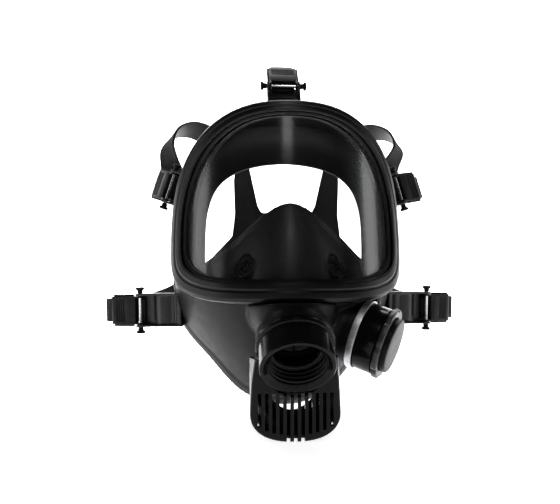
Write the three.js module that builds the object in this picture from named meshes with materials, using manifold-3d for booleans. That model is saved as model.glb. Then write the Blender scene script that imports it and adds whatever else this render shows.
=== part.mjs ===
// Full face respirator: a panoramic visor in a clamping frame, a rubber face blank with a
// reflex seal, an inner nose cup, a front connector with inhalation and exhalation valves,
// a side speech port, and a five strap head harness held by lever buckles.
// Millimetres. +X is the side with the speech port, -Y is forward, +Z is up.
// "left" is the -X side and "right" is the +X side.

import * as THREE from 'three';
import { mergeVertices } from 'three/addons/utils/BufferGeometryUtils.js';
import Module from 'manifold-3d';

const wasm = await Module();
wasm.setup();

// ---------------------------------------------------------------- driving dimensions

const GAP = 0.3; // clearance between pieces that touch

// Visor: a cylinder whose axis leans back, and two outlines drawn on it.
const VISOR_LEAN = THREE.MathUtils.degToRad(9);
const VISOR_RADIUS = 95;
const VISOR_AXIS_Y = 44.6;
const FRAME_OUTLINE = { half: 87.5, top: 105, bottom: -45, widest: 3.3, archPower: 2.7, sillPower: 3.5 };
const VIEW_OUTLINE = { half: 76, top: 94.5, bottom: -28, widest: 5, archPower: 2.6, sillPower: 3.2 };
const LENS_THICKNESS = 2.5;

// Face blank and face seal.
const BLANK_WALL = 3;
const SEAL_WALL = 2;
const RING_STEPS = 34; // steps round the face

// Front connector: round thread connector, its centre at the flange face.
const PORT_ORIGIN = new THREE.Vector3(0, -67.3, -63.3);
const PORT_DROP = THREE.MathUtils.degToRad(39.7); // axis below the horizontal
const PORT_LENGTH = 23;
const PORT_OUTER_R = 26;
const PORT_FLANGE_R = 28;
const THREAD_MAJOR_R = 20.2;
const THREAD_MINOR_R = 18.9;
const THREAD_PITCH = 3.63; // seven turns to the inch
const PORT_NECK_R = 23;
const MOUTH_R = 23.4; // a cone leads in to the thread
const MOUTH_LOW = 20.4;
const EXHALE_DROP = 47; // exhalation valve below the connector, in the flange plane
const EXHALE_R = 17.5;

// Side speech port.
const SIDE_ORIGIN = new THREE.Vector3(54.5, -25.5, -62.5);
const SIDE_AXIS = new THREE.Vector3(0.85, -0.44, -0.3).normalize();
const SIDE_NECK_R = 22.5;
const SIDE_BOSS_R = 25.4;
const SIDE_BOSS_TOP = 3;
const BAND_LOW = -2.3;
const BAND_HIGH = 2.7;
const SIDE_HOUSING_R = 25.5;
const BEZEL_R = 27;
const CAP_R = 20.8;
const CAP_TOP = 27.4; // the cap stands proud of its bezel

// Buckles and straps.
const BUCKLE_HALF = 14;
const FLANGE_WALL = 1.8;
const ARM_WALL = 1.5;
const PIN_R = 1.5;
const HEAD_R = 3.7;
const PIN_HOLE_R = 1.72;
const PIN_HEIGHT = 5.2;
const PIN_HALF = 16.4;
const WING_HALF = 13.4;
const LEVER_REACH = 27;
const STRAP_REACH = 36;
const STRAP_HALF = 9.8;
const STRAP_THICK = 2.2;

// Head harness plate.
const PLATE_CENTRE = new THREE.Vector3(9, 110, 56);
const PLATE_THICK = 3;

// ---------------------------------------------------------------- materials

const paint = (color, roughness, metalness = 0) =>
  new THREE.MeshStandardMaterial({ color, roughness, metalness });
const rubber = paint(0x1b1b1c, 0.55);
const softRubber = paint(0x252526, 0.65);
const gloss = paint(0x0c0c0d, 0.18);
const satin = paint(0x131314, 0.35);
const steel = paint(0xb9bcc0, 0.25, 1);
const greyPlastic = paint(0x8f9193, 0.6);
const valveRubber = paint(0x3a3a3c, 0.5);
const clear = new THREE.MeshStandardMaterial({
  color: 0xe8ecee, roughness: 0.05, transparent: true, opacity: 0.25,
});

// ---------------------------------------------------------------- solids

function toSolid(geometry) {
  const bare = geometry.index ? geometry.toNonIndexed() : geometry.clone();
  for (const name of Object.keys(bare.attributes)) {
    if (name !== 'position') bare.deleteAttribute(name);
  }
  const merged = mergeVertices(bare, 1e-4);
  const points = merged.attributes.position.array;
  const kept = [];
  let volume = 0;
  const index = merged.index.array;
  const corner = (i) => new THREE.Vector3(points[3 * i], points[3 * i + 1], points[3 * i + 2]);
  for (let i = 0; i < index.length; i += 3) {
    const [a, b, c] = [index[i], index[i + 1], index[i + 2]];
    if (a === b || b === c || c === a) continue;
    kept.push(a, b, c);
    volume += corner(a).dot(corner(b).cross(corner(c)));
  }
  if (volume < 0) {
    for (let i = 0; i < kept.length; i += 3) [kept[i], kept[i + 1]] = [kept[i + 1], kept[i]];
  }
  return new wasm.Manifold(new wasm.Mesh({
    numProp: 3,
    vertProperties: new Float32Array(points),
    triVerts: new Uint32Array(kept),
  }));
}

function toGeometry(solid) {
  const mesh = solid.getMesh();
  const geometry = new THREE.BufferGeometry();
  geometry.setAttribute('position', new THREE.BufferAttribute(Float32Array.from(mesh.vertProperties), 3));
  geometry.setIndex(Array.from(mesh.triVerts));
  return geometry;
}

const vector = (x, y, z) => new THREE.Vector3(x, y, z);
const moved = (solid, matrix) => solid.transform(matrix.elements);
const shifted = (solid, x, y, z) => moved(solid, new THREE.Matrix4().makeTranslation(x, y, z));
const joined = (solids) => solids.reduce((sum, next) => sum.add(next));
const without = (solid, cutters) => cutters.reduce((rest, next) => rest.subtract(next), solid);

function addPart(parent, name, solid, material) {
  const mesh = new THREE.Mesh(toGeometry(solid), material);
  mesh.name = name;
  parent.add(mesh);
  return mesh;
}

// A solid from rows of points. A closed strip of closed sections is a ring; otherwise the
// first and last sections are closed with a fan.
function skin(sections, ring) {
  const count = sections[0].length;
  const rows = sections.length;
  const flat = [];
  const put = (a, b, c) => flat.push(a.x, a.y, a.z, b.x, b.y, b.z, c.x, c.y, c.z);
  for (let i = 0; i < (ring ? rows : rows - 1); i += 1) {
    const here = sections[i];
    const next = sections[(i + 1) % rows];
    for (let k = 0; k < count; k += 1) {
      const m = (k + 1) % count;
      put(here[k], next[k], next[m]);
      put(here[k], next[m], here[m]);
    }
  }
  if (!ring) {
    for (const [section, flip] of [[sections[0], true], [sections[rows - 1], false]]) {
      const middle = new THREE.Vector3();
      section.forEach((p) => middle.add(p));
      middle.divideScalar(count);
      for (let k = 0; k < count; k += 1) {
        const m = (k + 1) % count;
        if (flip) put(middle, section[k], section[m]);
        else put(middle, section[m], section[k]);
      }
    }
  }
  const geometry = new THREE.BufferGeometry();
  geometry.setAttribute('position', new THREE.Float32BufferAttribute(flat, 3));
  return toSolid(geometry);
}

// A turned piece: [radius, height] pairs, closed on themselves, round the local Y axis.
function turned(profile, steps = 24) {
  const points = profile.map(([r, h]) => new THREE.Vector2(r, h));
  points.push(points[0].clone());
  return toSolid(new THREE.LatheGeometry(points, steps));
}

const tube = (inner, outer, low, high, steps) =>
  turned([[inner, low], [outer, low], [outer, high], [inner, high]], steps);

// A rod along local Y, from low to high.
function rod(radius, low, high, steps = 32, lowRadius = radius) {
  const shape = new THREE.CylinderGeometry(radius, lowRadius, high - low, steps);
  shape.translate(0, (low + high) / 2, 0);
  return toSolid(shape);
}

function block(x0, x1, y0, y1, z0, z1) {
  const shape = new THREE.BoxGeometry(x1 - x0, y1 - y0, z1 - z0);
  shape.translate((x0 + x1) / 2, (y0 + y1) / 2, (z0 + z1) / 2);
  return toSolid(shape);
}

// ---------------------------------------------------------------- frames of reference

const visorMatrix = new THREE.Matrix4().makeRotationX(-VISOR_LEAN);

// Connector frame: local Y along the axis, pointing out; local Z down the flange plane.
const portOut = new THREE.Vector3(0, -Math.cos(PORT_DROP), -Math.sin(PORT_DROP));
const portDown = new THREE.Vector3(0, Math.sin(PORT_DROP), -Math.cos(PORT_DROP));
const portSide = new THREE.Vector3().crossVectors(portOut, portDown);
const portMatrix = new THREE.Matrix4().makeBasis(portSide, portOut, portDown).setPosition(PORT_ORIGIN);

const sideUp = new THREE.Vector3(0, 0, 1).addScaledVector(SIDE_AXIS, -SIDE_AXIS.z).normalize();
const sideAcross = new THREE.Vector3().crossVectors(SIDE_AXIS, sideUp);
const sideMatrix = new THREE.Matrix4().makeBasis(sideAcross, SIDE_AXIS, sideUp).setPosition(SIDE_ORIGIN);

const model = new THREE.Group();

function addGroup(matrix) {
  const group = new THREE.Group();
  group.applyMatrix4(matrix);
  model.add(group);
  return group;
}

// ---------------------------------------------------------------- visor

// A point on the visor cylinder, at x and z and at a height above it, in the visor's frame.
function visorPoint(x, z, height) {
  const depth = Math.sqrt(VISOR_RADIUS ** 2 - x ** 2);
  const grow = 1 + height / VISOR_RADIUS;
  return new THREE.Vector3(x * grow, VISOR_AXIS_Y - depth * grow, z);
}

// A point of an outline at an angle, anticlockwise from +X as seen from the front.
function outlinePoint(outline, angle) {
  const c = Math.cos(angle);
  const s = Math.sin(angle);
  const power = s >= 0 ? outline.archPower : outline.sillPower;
  const reach = s >= 0 ? outline.top - outline.widest : outline.widest - outline.bottom;
  return [
    Math.sign(c) * outline.half * Math.abs(c) ** (2 / power),
    outline.widest + Math.sign(s) * reach * Math.abs(s) ** (2 / power),
  ];
}

// A point in the band between the view (0) and the frame's outer edge (1).
function bandPoint(angle, share, height) {
  const [xi, zi] = outlinePoint(VIEW_OUTLINE, angle);
  const [xo, zo] = outlinePoint(FRAME_OUTLINE, angle);
  return visorPoint(xi + (xo - xi) * share, zi + (zo - zi) * share, height);
}

// Angles that divide the frame's outline into equal lengths.
function evenAngles(count) {
  const fine = 2000;
  const travelled = [0];
  const at = (i) => new THREE.Vector2(...outlinePoint(FRAME_OUTLINE, (2 * Math.PI * i) / fine));
  for (let i = 0; i < fine; i += 1) travelled.push(travelled[i] + at(i).distanceTo(at(i + 1)));
  return Array.from({ length: count }, (_, k) => {
    const goal = (travelled[fine] * (k + 0.5)) / count;
    return (2 * Math.PI * travelled.findIndex((length) => length >= goal)) / fine;
  });
}
const angles = evenAngles(RING_STEPS);
const bandRing = (profile) => skin(angles.map((a) => profile.map(([s, h]) => bandPoint(a, s, h))), true);

const visor = addGroup(visorMatrix);

const FRAME_PROFILE = [
  [0.14, 5], [0.14, 6.3], [0.22, 7], [0.4, 7], [0.46, 5.9], [0.56, 5.9], [0.62, 6.9],
  [0.82, 6.6], [0.95, 5], [1, 2.4], [1, -4], [0.56, -4], [0.56, 5],
];
addPart(visor, 'visor_frame', bandRing(FRAME_PROFILE), satin);

const GASKET_PROFILE = [
  [0, 1.9], [0, 3.2], [0.1, 4.2], [0.48, 4.2], [0.48, -3.6], [0.03, -3.6], [0.03, -2],
  [0.38, -2], [0.38, 1.9],
];
addPart(visor, 'lens_gasket', bandRing(GASKET_PROFILE), rubber);

function lensRow(scale, height) {
  const middle = (VIEW_OUTLINE.top + VIEW_OUTLINE.bottom) / 2;
  return angles.map((a) => {
    const edge = bandPoint(a, 0.32, 0);
    return visorPoint(edge.x * scale, middle + (edge.z - middle) * scale, height);
  });
}
const LENS_SCALES = [0.16, 0.55, 0.84, 1];
const half = LENS_THICKNESS / 2;
addPart(visor, 'visor_lens', skin([
  ...LENS_SCALES.map((s) => lensRow(s, -half)),
  ...[...LENS_SCALES].reverse().map((s) => lensRow(s, half)),
], false), clear);

// ---------------------------------------------------------------- face blank

// Hand-chosen points down one side of the face, from the forehead to the chin.
const mirrored = (points) => {
  const other = points.slice(1, -1).reverse().map(([x, y, z]) => [-x, y, z]);
  const loop = [...points, ...other].map((p) => new THREE.Vector3(...p));
  return new THREE.CatmullRomCurve3(loop, true, 'centripetal');
};
const REAR_EDGE = mirrored([
  [0, 22, 106], [44, 25, 100], [74, 32, 76], [89, 38, 40], [92, 42, 0], [90, 42, -35],
  [83, 38, -60], [61, 30, -86], [36, 22, -112], [16, 17, -121], [0, 15, -123],
]);
const SEAL_EDGE = mirrored([
  [0, 22, 73], [36, 23, 67], [54, 25, 55], [63, 27, 36], [66, 28, 0], [64, 28, -35],
  [56, 25, -58], [42, 20, -78], [24, 14, -94], [10, 12, -99], [0, 11, -100],
]);

// The point of a face curve that lies in the direction of an angle round the face's middle.
function facePoint(curve, angle) {
  const table = curve.table ?? curve.getSpacedPoints(400);
  curve.table = table;
  let best = table[0];
  let least = Infinity;
  for (let i = 0; i < table.length - 1; i += 1) {
    const a = table[i];
    const b = table[i + 1];
    const direction = [Math.cos(angle), Math.sin(angle)];
    const sideA = a.x * direction[1] - a.z * direction[0];
    const sideB = b.x * direction[1] - b.z * direction[0];
    if (sideA * sideB > 0) continue;
    const point = a.clone().lerp(b, sideA === sideB ? 0 : sideA / (sideA - sideB));
    const ahead = point.x * direction[0] + point.z * direction[1];
    if (ahead > 0 && Math.abs(sideA) < least) {
      least = Math.abs(sideA);
      best = point;
    }
  }
  return best;
}

// Between the blank's rear edge (0) and the tip of the seal (1), and so far to the rear.
function sealPoint(angle, share, rear) {
  const direction = faceAngle(angle);
  const point = facePoint(REAR_EDGE, direction).lerp(facePoint(SEAL_EDGE, direction), share);
  point.y += rear;
  return point;
}

const faceAngle = (angle) => {
  const [x, z] = outlinePoint(FRAME_OUTLINE, angle);
  return Math.atan2(z, x);
};
const frontEdge = (angle, share, height) => bandPoint(angle, share, height).applyMatrix4(visorMatrix);

// Outer skin of the face blank: round the face by angle, and from front (0) to rear (1).
function blankSkin(angle, run) {
  const start = frontEdge(angle, 0.97, -4.4);
  const end = facePoint(REAR_EDGE, faceAngle(angle));
  const down = Math.max(0, -Math.sin(faceAngle(angle)));
  const outward = new THREE.Vector3(start.x * 0.4, -45 * down, start.z - 20 * down).normalize();
  const belly = start.clone().lerp(end, 0.5).addScaledVector(outward, 4 + 14 * down ** 1.5);
  const keep = (1 - run) ** 2;
  const blend = 2 * run * (1 - run);
  return start.multiplyScalar(keep).addScaledVector(belly, blend).addScaledVector(end, run ** 2);
}

function blankInner(angle, run, wall = BLANK_WALL) {
  const step = 0.01;
  const along = blankSkin(angle, Math.min(1, run + step)).sub(blankSkin(angle, Math.max(0, run - step)));
  const around = blankSkin(angle + step, run).sub(blankSkin(angle - step, run));
  const normal = along.cross(around).normalize();
  const point = blankSkin(angle, run);
  const out = new THREE.Vector3(point.x, -40, point.z + 20);
  if (normal.dot(out) > 0) normal.negate();
  return point.addScaledVector(normal, wall);
}

const RUNS = [0, 0.22, 0.44, 0.68, 1];
function blankSection(angle) {
  const outer = RUNS.map((r) => blankSkin(angle, r));
  const inner = RUNS.slice(1).reverse().map((r) => blankInner(angle, r));
  const bed = [[0.62, -7.6], [0.06, -7.2], [0.06, -4]];
  return [...outer, ...inner, ...bed.map(([share, height]) => frontEdge(angle, share, height))];
}
const shell = skin(angles.map(blankSection), true);

const BOSS_TOP = -GAP;
const portBoss = joined([
  rod(25.7, -12, BOSS_TOP, 26),
  rod(25.7, -34, -11.9, 26, 34),
]);
const exhaleBoss = shifted(rod(20.5, -34, -8, 24, 27), 0, 0, EXHALE_DROP);
const sideBoss = joined([rod(SIDE_BOSS_R, -10, SIDE_BOSS_TOP, 26), rod(SIDE_BOSS_R, -34, -9.9, 26, 33)]);

// Everything inside the shell, as one solid, with a margin to the inner wall.
function cavity(margin) {
  const wall = BLANK_WALL + margin;
  const inward = vector(0.9, 1, 0.9);
  const opening = angles.map((a) => facePoint(REAR_EDGE, faceAngle(a)).multiply(inward).setY(120));
  const walls = [...RUNS].reverse().slice(0, -1).map((r) => angles.map((a) => blankInner(a, r, wall)));
  const flange = [[0.6, -7.8], [0.04, -7.6], [0.04, 2]];
  const ahead = angles.map((a) => frontEdge(a, 0.04, 2).add(vector(0, -60, 0)));
  return skin([opening, ...walls, ...flange.map(([share, height]) => (
    angles.map((a) => frontEdge(a, share, height - margin)))), ahead], false);
}

// The breathing passage narrows behind the connector and drops into the nose cup.
const circle = (radius, height, drop, steps = 24) => Array.from({ length: steps }, (_, i) => {
  const a = (2 * Math.PI * i) / steps;
  return new THREE.Vector3(radius * Math.cos(a), height, drop + radius * Math.sin(a));
});
const passage = skin([circle(PORT_NECK_R + GAP, 5, 0), circle(PORT_NECK_R + GAP, -10.4, 0),
  circle(15.5, -27, 11), circle(15.5, -40, 18)], false);
const exhalePassage = shifted(rod(EXHALE_R + GAP, -60, 10, 24), 0, 0, EXHALE_DROP);
const sidePassage = rod(SIDE_NECK_R + GAP, -28, 10, 26);

const bandRoom = tube(SIDE_BOSS_R, 34, BAND_LOW - 0.4, 40, 32);
const sealRoom = skin(angles.map((a) => (
  [[-0.6, 0.1], [1, 0.1], [1, 20], [-0.6, 20]].map(([share, rear]) => sealPoint(a, share, rear)))), true);
const frameRoom = moved(bandRing([[-0.5, 60], [1.01, 60], [1.03, -4.3], [-0.5, -3.9]]), visorMatrix);
const port = addGroup(portMatrix);
const side = addGroup(sideMatrix);

const bosses = without(joined([moved(portBoss, portMatrix), moved(exhaleBoss, portMatrix),
  moved(sideBoss, sideMatrix)]), [cavity(0)]);
const largest = (solid) => solid.decompose().sort((a, b) => b.volume() - a.volume())[0];
const blank = largest(without(shell.add(bosses), [
  frameRoom,
  moved(passage, portMatrix),
  moved(exhalePassage, portMatrix),
  moved(sidePassage, sideMatrix),
  moved(bandRoom, sideMatrix),
  sealRoom,
]));
// The blank is one moulding. It is divided into simpler solids, so that each one's collision
// shape can stay open where the blank is open.
const SPLIT_Z = 10; // forehead and temples above, cheeks and chin below
const SPLIT_X = 30; // half the width of the chin piece
const FAR = 300;
const HALF_GAP = GAP / 2;
const blankRegions = {
  face_blank_upper_left: [-FAR, -HALF_GAP, SPLIT_Z + HALF_GAP, FAR],
  face_blank_upper_right: [HALF_GAP, FAR, SPLIT_Z + HALF_GAP, FAR],
  face_blank_cheek_left: [-FAR, -SPLIT_X - HALF_GAP, -FAR, SPLIT_Z - HALF_GAP],
  face_blank_chin: [-SPLIT_X + HALF_GAP, SPLIT_X - HALF_GAP, -FAR, SPLIT_Z - HALF_GAP],
  face_blank_cheek_right: [SPLIT_X + HALF_GAP, FAR, -FAR, SPLIT_Z - HALF_GAP],
};
for (const [name, [x0, x1, z0, z1]] of Object.entries(blankRegions)) {
  addPart(model, name, largest(blank.intersect(block(x0, x1, -FAR, FAR, z0, z1))), rubber);
}

// ---------------------------------------------------------------- face seal

// A lip that turns in from the rear edge of the blank and rests on the wearer's face.
const SEAL_PROFILE = [[-0.04, 0.6], [0.1, 0.6], [0.55, 3.5], [1, 0], [1.02, 1], [1, SEAL_WALL],
  [0.55, 3.5 + SEAL_WALL], [0.08, 3.4], [-0.05, 2.8]];
const sealSection = (angle) => SEAL_PROFILE.map(([share, rear]) => sealPoint(angle, share, rear));
addPart(model, 'face_seal', skin(angles.map(sealSection), true), softRubber);

// ---------------------------------------------------------------- front connector

function connectorProfile() {
  const profile = [[PORT_NECK_R - 2.5, -9.8], [PORT_NECK_R, -9.8], [PORT_NECK_R, 0], [PORT_FLANGE_R, 0],
    [PORT_FLANGE_R, 2.6], [PORT_FLANGE_R - 0.8, 3.6], [PORT_OUTER_R, 4], [PORT_OUTER_R, PORT_LENGTH - 1],
    [PORT_OUTER_R - 0.6, PORT_LENGTH], [MOUTH_R, PORT_LENGTH], [THREAD_MAJOR_R + 0.4, MOUTH_LOW]];
  const bottom = 8.4;
  for (let top = MOUTH_LOW - 0.3; top - THREAD_PITCH > bottom; top -= THREAD_PITCH) {
    profile.push([THREAD_MAJOR_R, top], [THREAD_MINOR_R, top - 0.36 * THREAD_PITCH],
      [THREAD_MINOR_R, top - 0.64 * THREAD_PITCH]);
  }
  profile.push([THREAD_MAJOR_R, bottom], [THREAD_MAJOR_R, 5.8], [16.5, 5.8], [16.5, 3.4]);
  profile.push([PORT_NECK_R - 2.5, 0]);
  return profile;
}
addPart(port, 'connector_body', turned(connectorProfile(), 26), gloss);
addPart(port, 'connector_clamp_ring', tube(25.7 + GAP, 27.4, -7.5, -1.2, 32), satin);
addPart(port, 'connector_gasket', tube(16.6, THREAD_MAJOR_R - GAP, 5.8 + GAP, 7.8, 28), valveRubber);

// Inhalation valve: a spoked seat pressed into the neck and a rubber disc above its spokes.
const SEAT_R = PORT_NECK_R - 2.5 - GAP;
const INHALE_OPENING_R = 16.6;
function spokedSeat(outer, inner, low, high, hub, steps = 22) {
  const bars = [0, 1, 2].map((i) => moved(
    block(-0.9, 0.9, low, low + 1.4, -inner - 0.5, inner + 0.5),
    new THREE.Matrix4().makeRotationY((i * Math.PI) / 3),
  ));
  return joined([tube(inner, outer, low, high, steps), ...bars, rod(hub, low, low + 1.4, 12)]);
}
addPart(port, 'inhalation_valve_seat', spokedSeat(SEAT_R, INHALE_OPENING_R, -8, -5.2, 3.4), satin);
addPart(port, 'inhalation_valve_disc', rod(INHALE_OPENING_R + 1.2, -9.4, -8.4, 32), valveRubber);

// Exhalation valve below it: a seat tube in the rubber, a disc in front, and a light spring.
const exhale = new THREE.Group();
exhale.position.set(0, 0, EXHALE_DROP);
port.add(exhale);
const seatTube = joined([
  tube(EXHALE_R - 2.2, EXHALE_R, -22, -7.6, 22),
  tube(EXHALE_R - 2.2, EXHALE_R + 1.6, -7.7, -5.6, 22),
  spokedSeat(EXHALE_R - 2, EXHALE_R - 3, -9.5, -8.1, 3.2),
]);
addPart(exhale, 'exhalation_valve_seat', seatTube, satin);
addPart(exhale, 'exhalation_valve_disc', rod(EXHALE_R + 0.6, -5.3, -4.2, 32), valveRubber);

const SPRING_R = 6;
const SPRING_TURNS = 3;
const SPRING_LOW = -4.2 + GAP;
const SPRING_HIGH = 3;
class Helix extends THREE.Curve {
  getPoint(t, target = new THREE.Vector3()) {
    const a = 2 * Math.PI * SPRING_TURNS * t;
    const wire = 0.5;
    const height = SPRING_LOW + wire + t * (SPRING_HIGH - SPRING_LOW - 2 * wire);
    return target.set(SPRING_R * Math.cos(a), height, SPRING_R * Math.sin(a));
  }
}
const wireShape = new THREE.Shape().absarc(0, 0, 0.45, 0, 2 * Math.PI);
addPart(exhale, 'exhalation_valve_spring', toSolid(new THREE.ExtrudeGeometry(wireShape, {
  steps: 36, curveSegments: 2, extrudePath: new Helix(),
})), steel);
const bridge = joined([rod(8, 3.3, 4.9, 24), block(-22, 22, 3.3, 4.9, -2.2, 2.2)]);
const bridgeFeet = [-1, 1].map((s) => block(s > 0 ? 20.5 : -22, s > 0 ? 22 : -20.5, -7.7, 3.4, -2.2, 2.2));
addPart(exhale, 'exhalation_spring_bridge', joined([bridge, ...bridgeFeet]), satin);

// ---------------------------------------------------------------- exhalation cowl

// A scoop below the connector: slotted front wall, round floor, open at the back.
const COWL_WALL = 2.2;
const COWL_FRONT_Y = -70.5;
const COWL_HALF = 31.6;
const COWL_TOP = -68;
const COWL_SPRING_Z = -111; // where the round floor starts
const COWL_BOTTOM = -131;
const COWL_LIFT = 11; // the floor rises this much to the back
const COWL_SPRING_LIFT = 31; // and its round part starts this much higher there

function cowlRow(inset, rear, share) {
  const row = [];
  const halfWidth = COWL_HALF - inset;
  const lift = COWL_LIFT * share;
  const bottom = COWL_BOTTOM + inset + lift;
  const spring = COWL_SPRING_Z + COWL_SPRING_LIFT * share;
  const steps = 12;
  for (let i = 0; i <= steps; i += 1) {
    const a = Math.PI * (i / steps);
    const c = Math.cos(a);
    row.push([
      halfWidth * Math.sign(c) * Math.abs(c) ** (0.8 + 0.2 * share),
      spring + (bottom - spring) * Math.sin(a) ** (0.9 + 0.1 * share),
    ]);
  }
  const shoulder = Math.max(-90, spring + 4);
  row.push([-halfWidth * 0.97, shoulder], [-halfWidth * 0.88, COWL_TOP]);
  row.push([halfWidth * 0.88, COWL_TOP], [halfWidth * 0.97, shoulder]);
  return row.map(([x, z]) => new THREE.Vector3(x, rear(z), z));
}
const cowlBack = (z) => THREE.MathUtils.mapLinear(z, COWL_TOP, COWL_BOTTOM, -56, -30);
const cowlSolid = skin([
  cowlRow(2, () => COWL_FRONT_Y, 0), cowlRow(0.5, () => COWL_FRONT_Y + 0.8, 0),
  cowlRow(0, () => COWL_FRONT_Y + 2.6, 0.02), cowlRow(0, cowlBack, 1),
], false);
const cowlHollow = skin([
  cowlRow(COWL_WALL + 0.8, () => COWL_FRONT_Y + COWL_WALL, 0),
  cowlRow(COWL_WALL, () => COWL_FRONT_Y + COWL_WALL + 1.4, 0.02),
  cowlRow(COWL_WALL, cowlBack, 1),
  cowlRow(COWL_WALL, (z) => cowlBack(z) + 12, 1.25),
], false);
const SLOT_PITCH = 5;
const SLOT_WIDTH = 2.5;
const slotCutters = [];
for (let i = -5; i <= 5; i += 1) {
  const x = i * SLOT_PITCH;
  const short = Math.abs(i) > 1;
  const low = COWL_SPRING_Z - 15 * Math.sqrt(1 - (x / COWL_HALF) ** 2) + (short ? 0 : -8);
  const half = SLOT_WIDTH / 2;
  slotCutters.push(block(x - half, x + half, COWL_FRONT_Y - 5, COWL_FRONT_Y + 6, low, -97));
}
const connectorRoom = moved(joined([
  rod(PORT_OUTER_R + 0.4, -1, 60, 44),
  rod(PORT_FLANGE_R + 0.4, -20, 4.4, 44),
]), portMatrix);
const bossRoom = moved(rod(35, -34, -8, 40, 38), portMatrix);
const cowlTrim = block(-40, 40, -90, -20, -74, -60);
const cowl = largest(without(cowlSolid, [cowlHollow, ...slotCutters, connectorRoom, bossRoom, cowlTrim]));
addPart(model, 'exhalation_cowl', cowl, gloss);

// ---------------------------------------------------------------- nose cup

const CUP_EDGE = mirrored([
  [0, -30, 35], [10, -29, 32], [24, -24, 22], [42, -12, 6], [58, 2, -10], [60, 6, -34],
  [50, 8, -60], [32, 6, -82], [14, 3, -92], [0, 2, -94],
]);
const CUP_WALL = 2;
function cupSection(angle) {
  const rim = facePoint(CUP_EDGE, angle);
  const local = new THREE.Vector3(17.5 * Math.cos(angle), -26.5, 11 - 17.5 * Math.sin(angle));
  local.x *= portSide.x;
  const mouth = local.applyMatrix4(portMatrix);
  const outer = (t) => {
    const point = mouth.clone().lerp(rim, t);
    const swell = 6 * Math.sin(Math.PI * t);
    const away = new THREE.Vector3(Math.cos(angle), -0.35, Math.sin(angle)).normalize();
    return point.addScaledVector(away, swell);
  };
  const inner = (t) => {
    const inward = new THREE.Vector3(-Math.cos(angle), 0.75, -Math.sin(angle)).normalize();
    return outer(t).addScaledVector(inward, CUP_WALL);
  };
  const rimOut = rim.clone().add(new THREE.Vector3(Math.cos(angle) * 2.5, 1.5, Math.sin(angle) * 2.5));
  const runs = [0, 0.25, 0.5, 0.75, 0.96];
  const rimBack = rim.clone().add(vector(0, 3, 0));
  return [...runs.map(outer), rimOut, rimBack, ...[...runs].reverse().map(inner)];
}
const cupRing = skin(angles.map(cupSection), true);

// Valve seats in the cup's upper flanks, left and right.
const cupValves = [-1, 1].map((s) => {
  const axis = new THREE.Vector3(s * 0.62, -0.62, 0.48).normalize();
  const across = new THREE.Vector3(0, 0, 1).cross(axis).normalize();
  const up = axis.clone().cross(across);
  const matrix = new THREE.Matrix4().makeBasis(across.negate(), axis, up)
    .setPosition(s * 33, -27, -11);
  return { side: s < 0 ? 'left' : 'right', matrix };
});
const CUP_SEAT_R = 7;
const cupPads = cupValves.map(({ matrix }) => moved(rod(CUP_SEAT_R + 2.4, -3.2, 0, 20), matrix));
const cupHoles = cupValves.map(({ matrix }) => moved(rod(CUP_SEAT_R + GAP, -20, 20, 20), matrix));
const cupFaces = cupValves.map(({ matrix }) => moved(rod(CUP_SEAT_R + 2.2, 0.1, 14, 20), matrix));
const exhaleRoom = moved(exhalePassage, portMatrix);
const cup = largest(without(joined([cupRing, ...cupPads]), [...cupHoles, ...cupFaces, exhaleRoom])
  .intersect(cavity(0.6)));
addPart(model, 'nose_cup', cup, softRubber);
for (const { side: name, matrix } of cupValves) {
  const group = addGroup(matrix);
  addPart(group, `nose_cup_valve_seat_${name}`, joined([
    spokedSeat(CUP_SEAT_R, CUP_SEAT_R - 1.6, -3.4, 0.5, 1.8, 16),
    tube(CUP_SEAT_R - 1.6, CUP_SEAT_R + 1.6, 0.4, 1.4, 16),
  ]), satin);
  addPart(group, `nose_cup_valve_disc_${name}`, rod(CUP_SEAT_R - 0.7, -4.7, -3.8, 18), valveRubber);
}

// ---------------------------------------------------------------- side speech port

addPart(side, 'side_port_housing', turned([
  [SIDE_NECK_R - 2, -9], [SIDE_NECK_R, -9], [SIDE_NECK_R, SIDE_BOSS_TOP + 0.4],
  [SIDE_HOUSING_R, SIDE_BOSS_TOP + 0.4], [SIDE_HOUSING_R, 17],
  [24.2, 18], [22.2, 18], [22.2, 20.6], [21.6, 21], [SIDE_NECK_R - 2, 21], [SIDE_NECK_R - 2, 11],
  [18, 11], [18, 9], [SIDE_NECK_R - 2, 9],
]), gloss);
addPart(side, 'diaphragm_gasket', tube(18.4, 20.2, 11 + GAP, 12.6, 28), valveRubber);
addPart(side, 'speech_diaphragm', turned([
  [0, 12.9], [20.2, 12.9], [20.2, 13.6], [16, 13.6], [15, 14.2], [13, 14.2], [12, 13.6], [0, 13.6],
], 28), steel);
addPart(side, 'diaphragm_lock_ring', tube(17.6, 20.2, 13.9, 16.4, 28), satin);

const CLAMP_HOLE_R = 1.75;
const CLAMP_AT = Math.PI * 0.75; // the clamp screw sits on the rear, lower side of the band
const clampTurn = new THREE.Matrix4().makeRotationY(CLAMP_AT);
const clampLugs = [-1, 1].map((s) => block(26, 31.5, BAND_LOW, BAND_HIGH, s * 3.4 - 1.1, s * 3.4 + 1.1));
const clampHoleMatrix = new THREE.Matrix4().makeRotationX(Math.PI / 2).setPosition(29.4, 0.3, 0);
const clampHole = moved(rod(CLAMP_HOLE_R, -12, 12, 20), clampHoleMatrix);
const clampRing = tube(SIDE_BOSS_R + GAP, SIDE_BOSS_R + 1.6, BAND_LOW, BAND_HIGH, 32);
const band = without(joined([clampRing, ...clampLugs]), [
  block(20, 40, -10, 10, -2.2, 2.2), clampHole,
]);
addPart(side, 'clamp_band', moved(band, clampTurn), steel);
const screw = joined([rod(1.5, -6.6, 7.2, 20), rod(2.7, 4.9, 7.4, 20)]);
const screwDriven = without(screw, [block(-3, 3, 6.4, 9, -0.4, 0.4)]);
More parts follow.
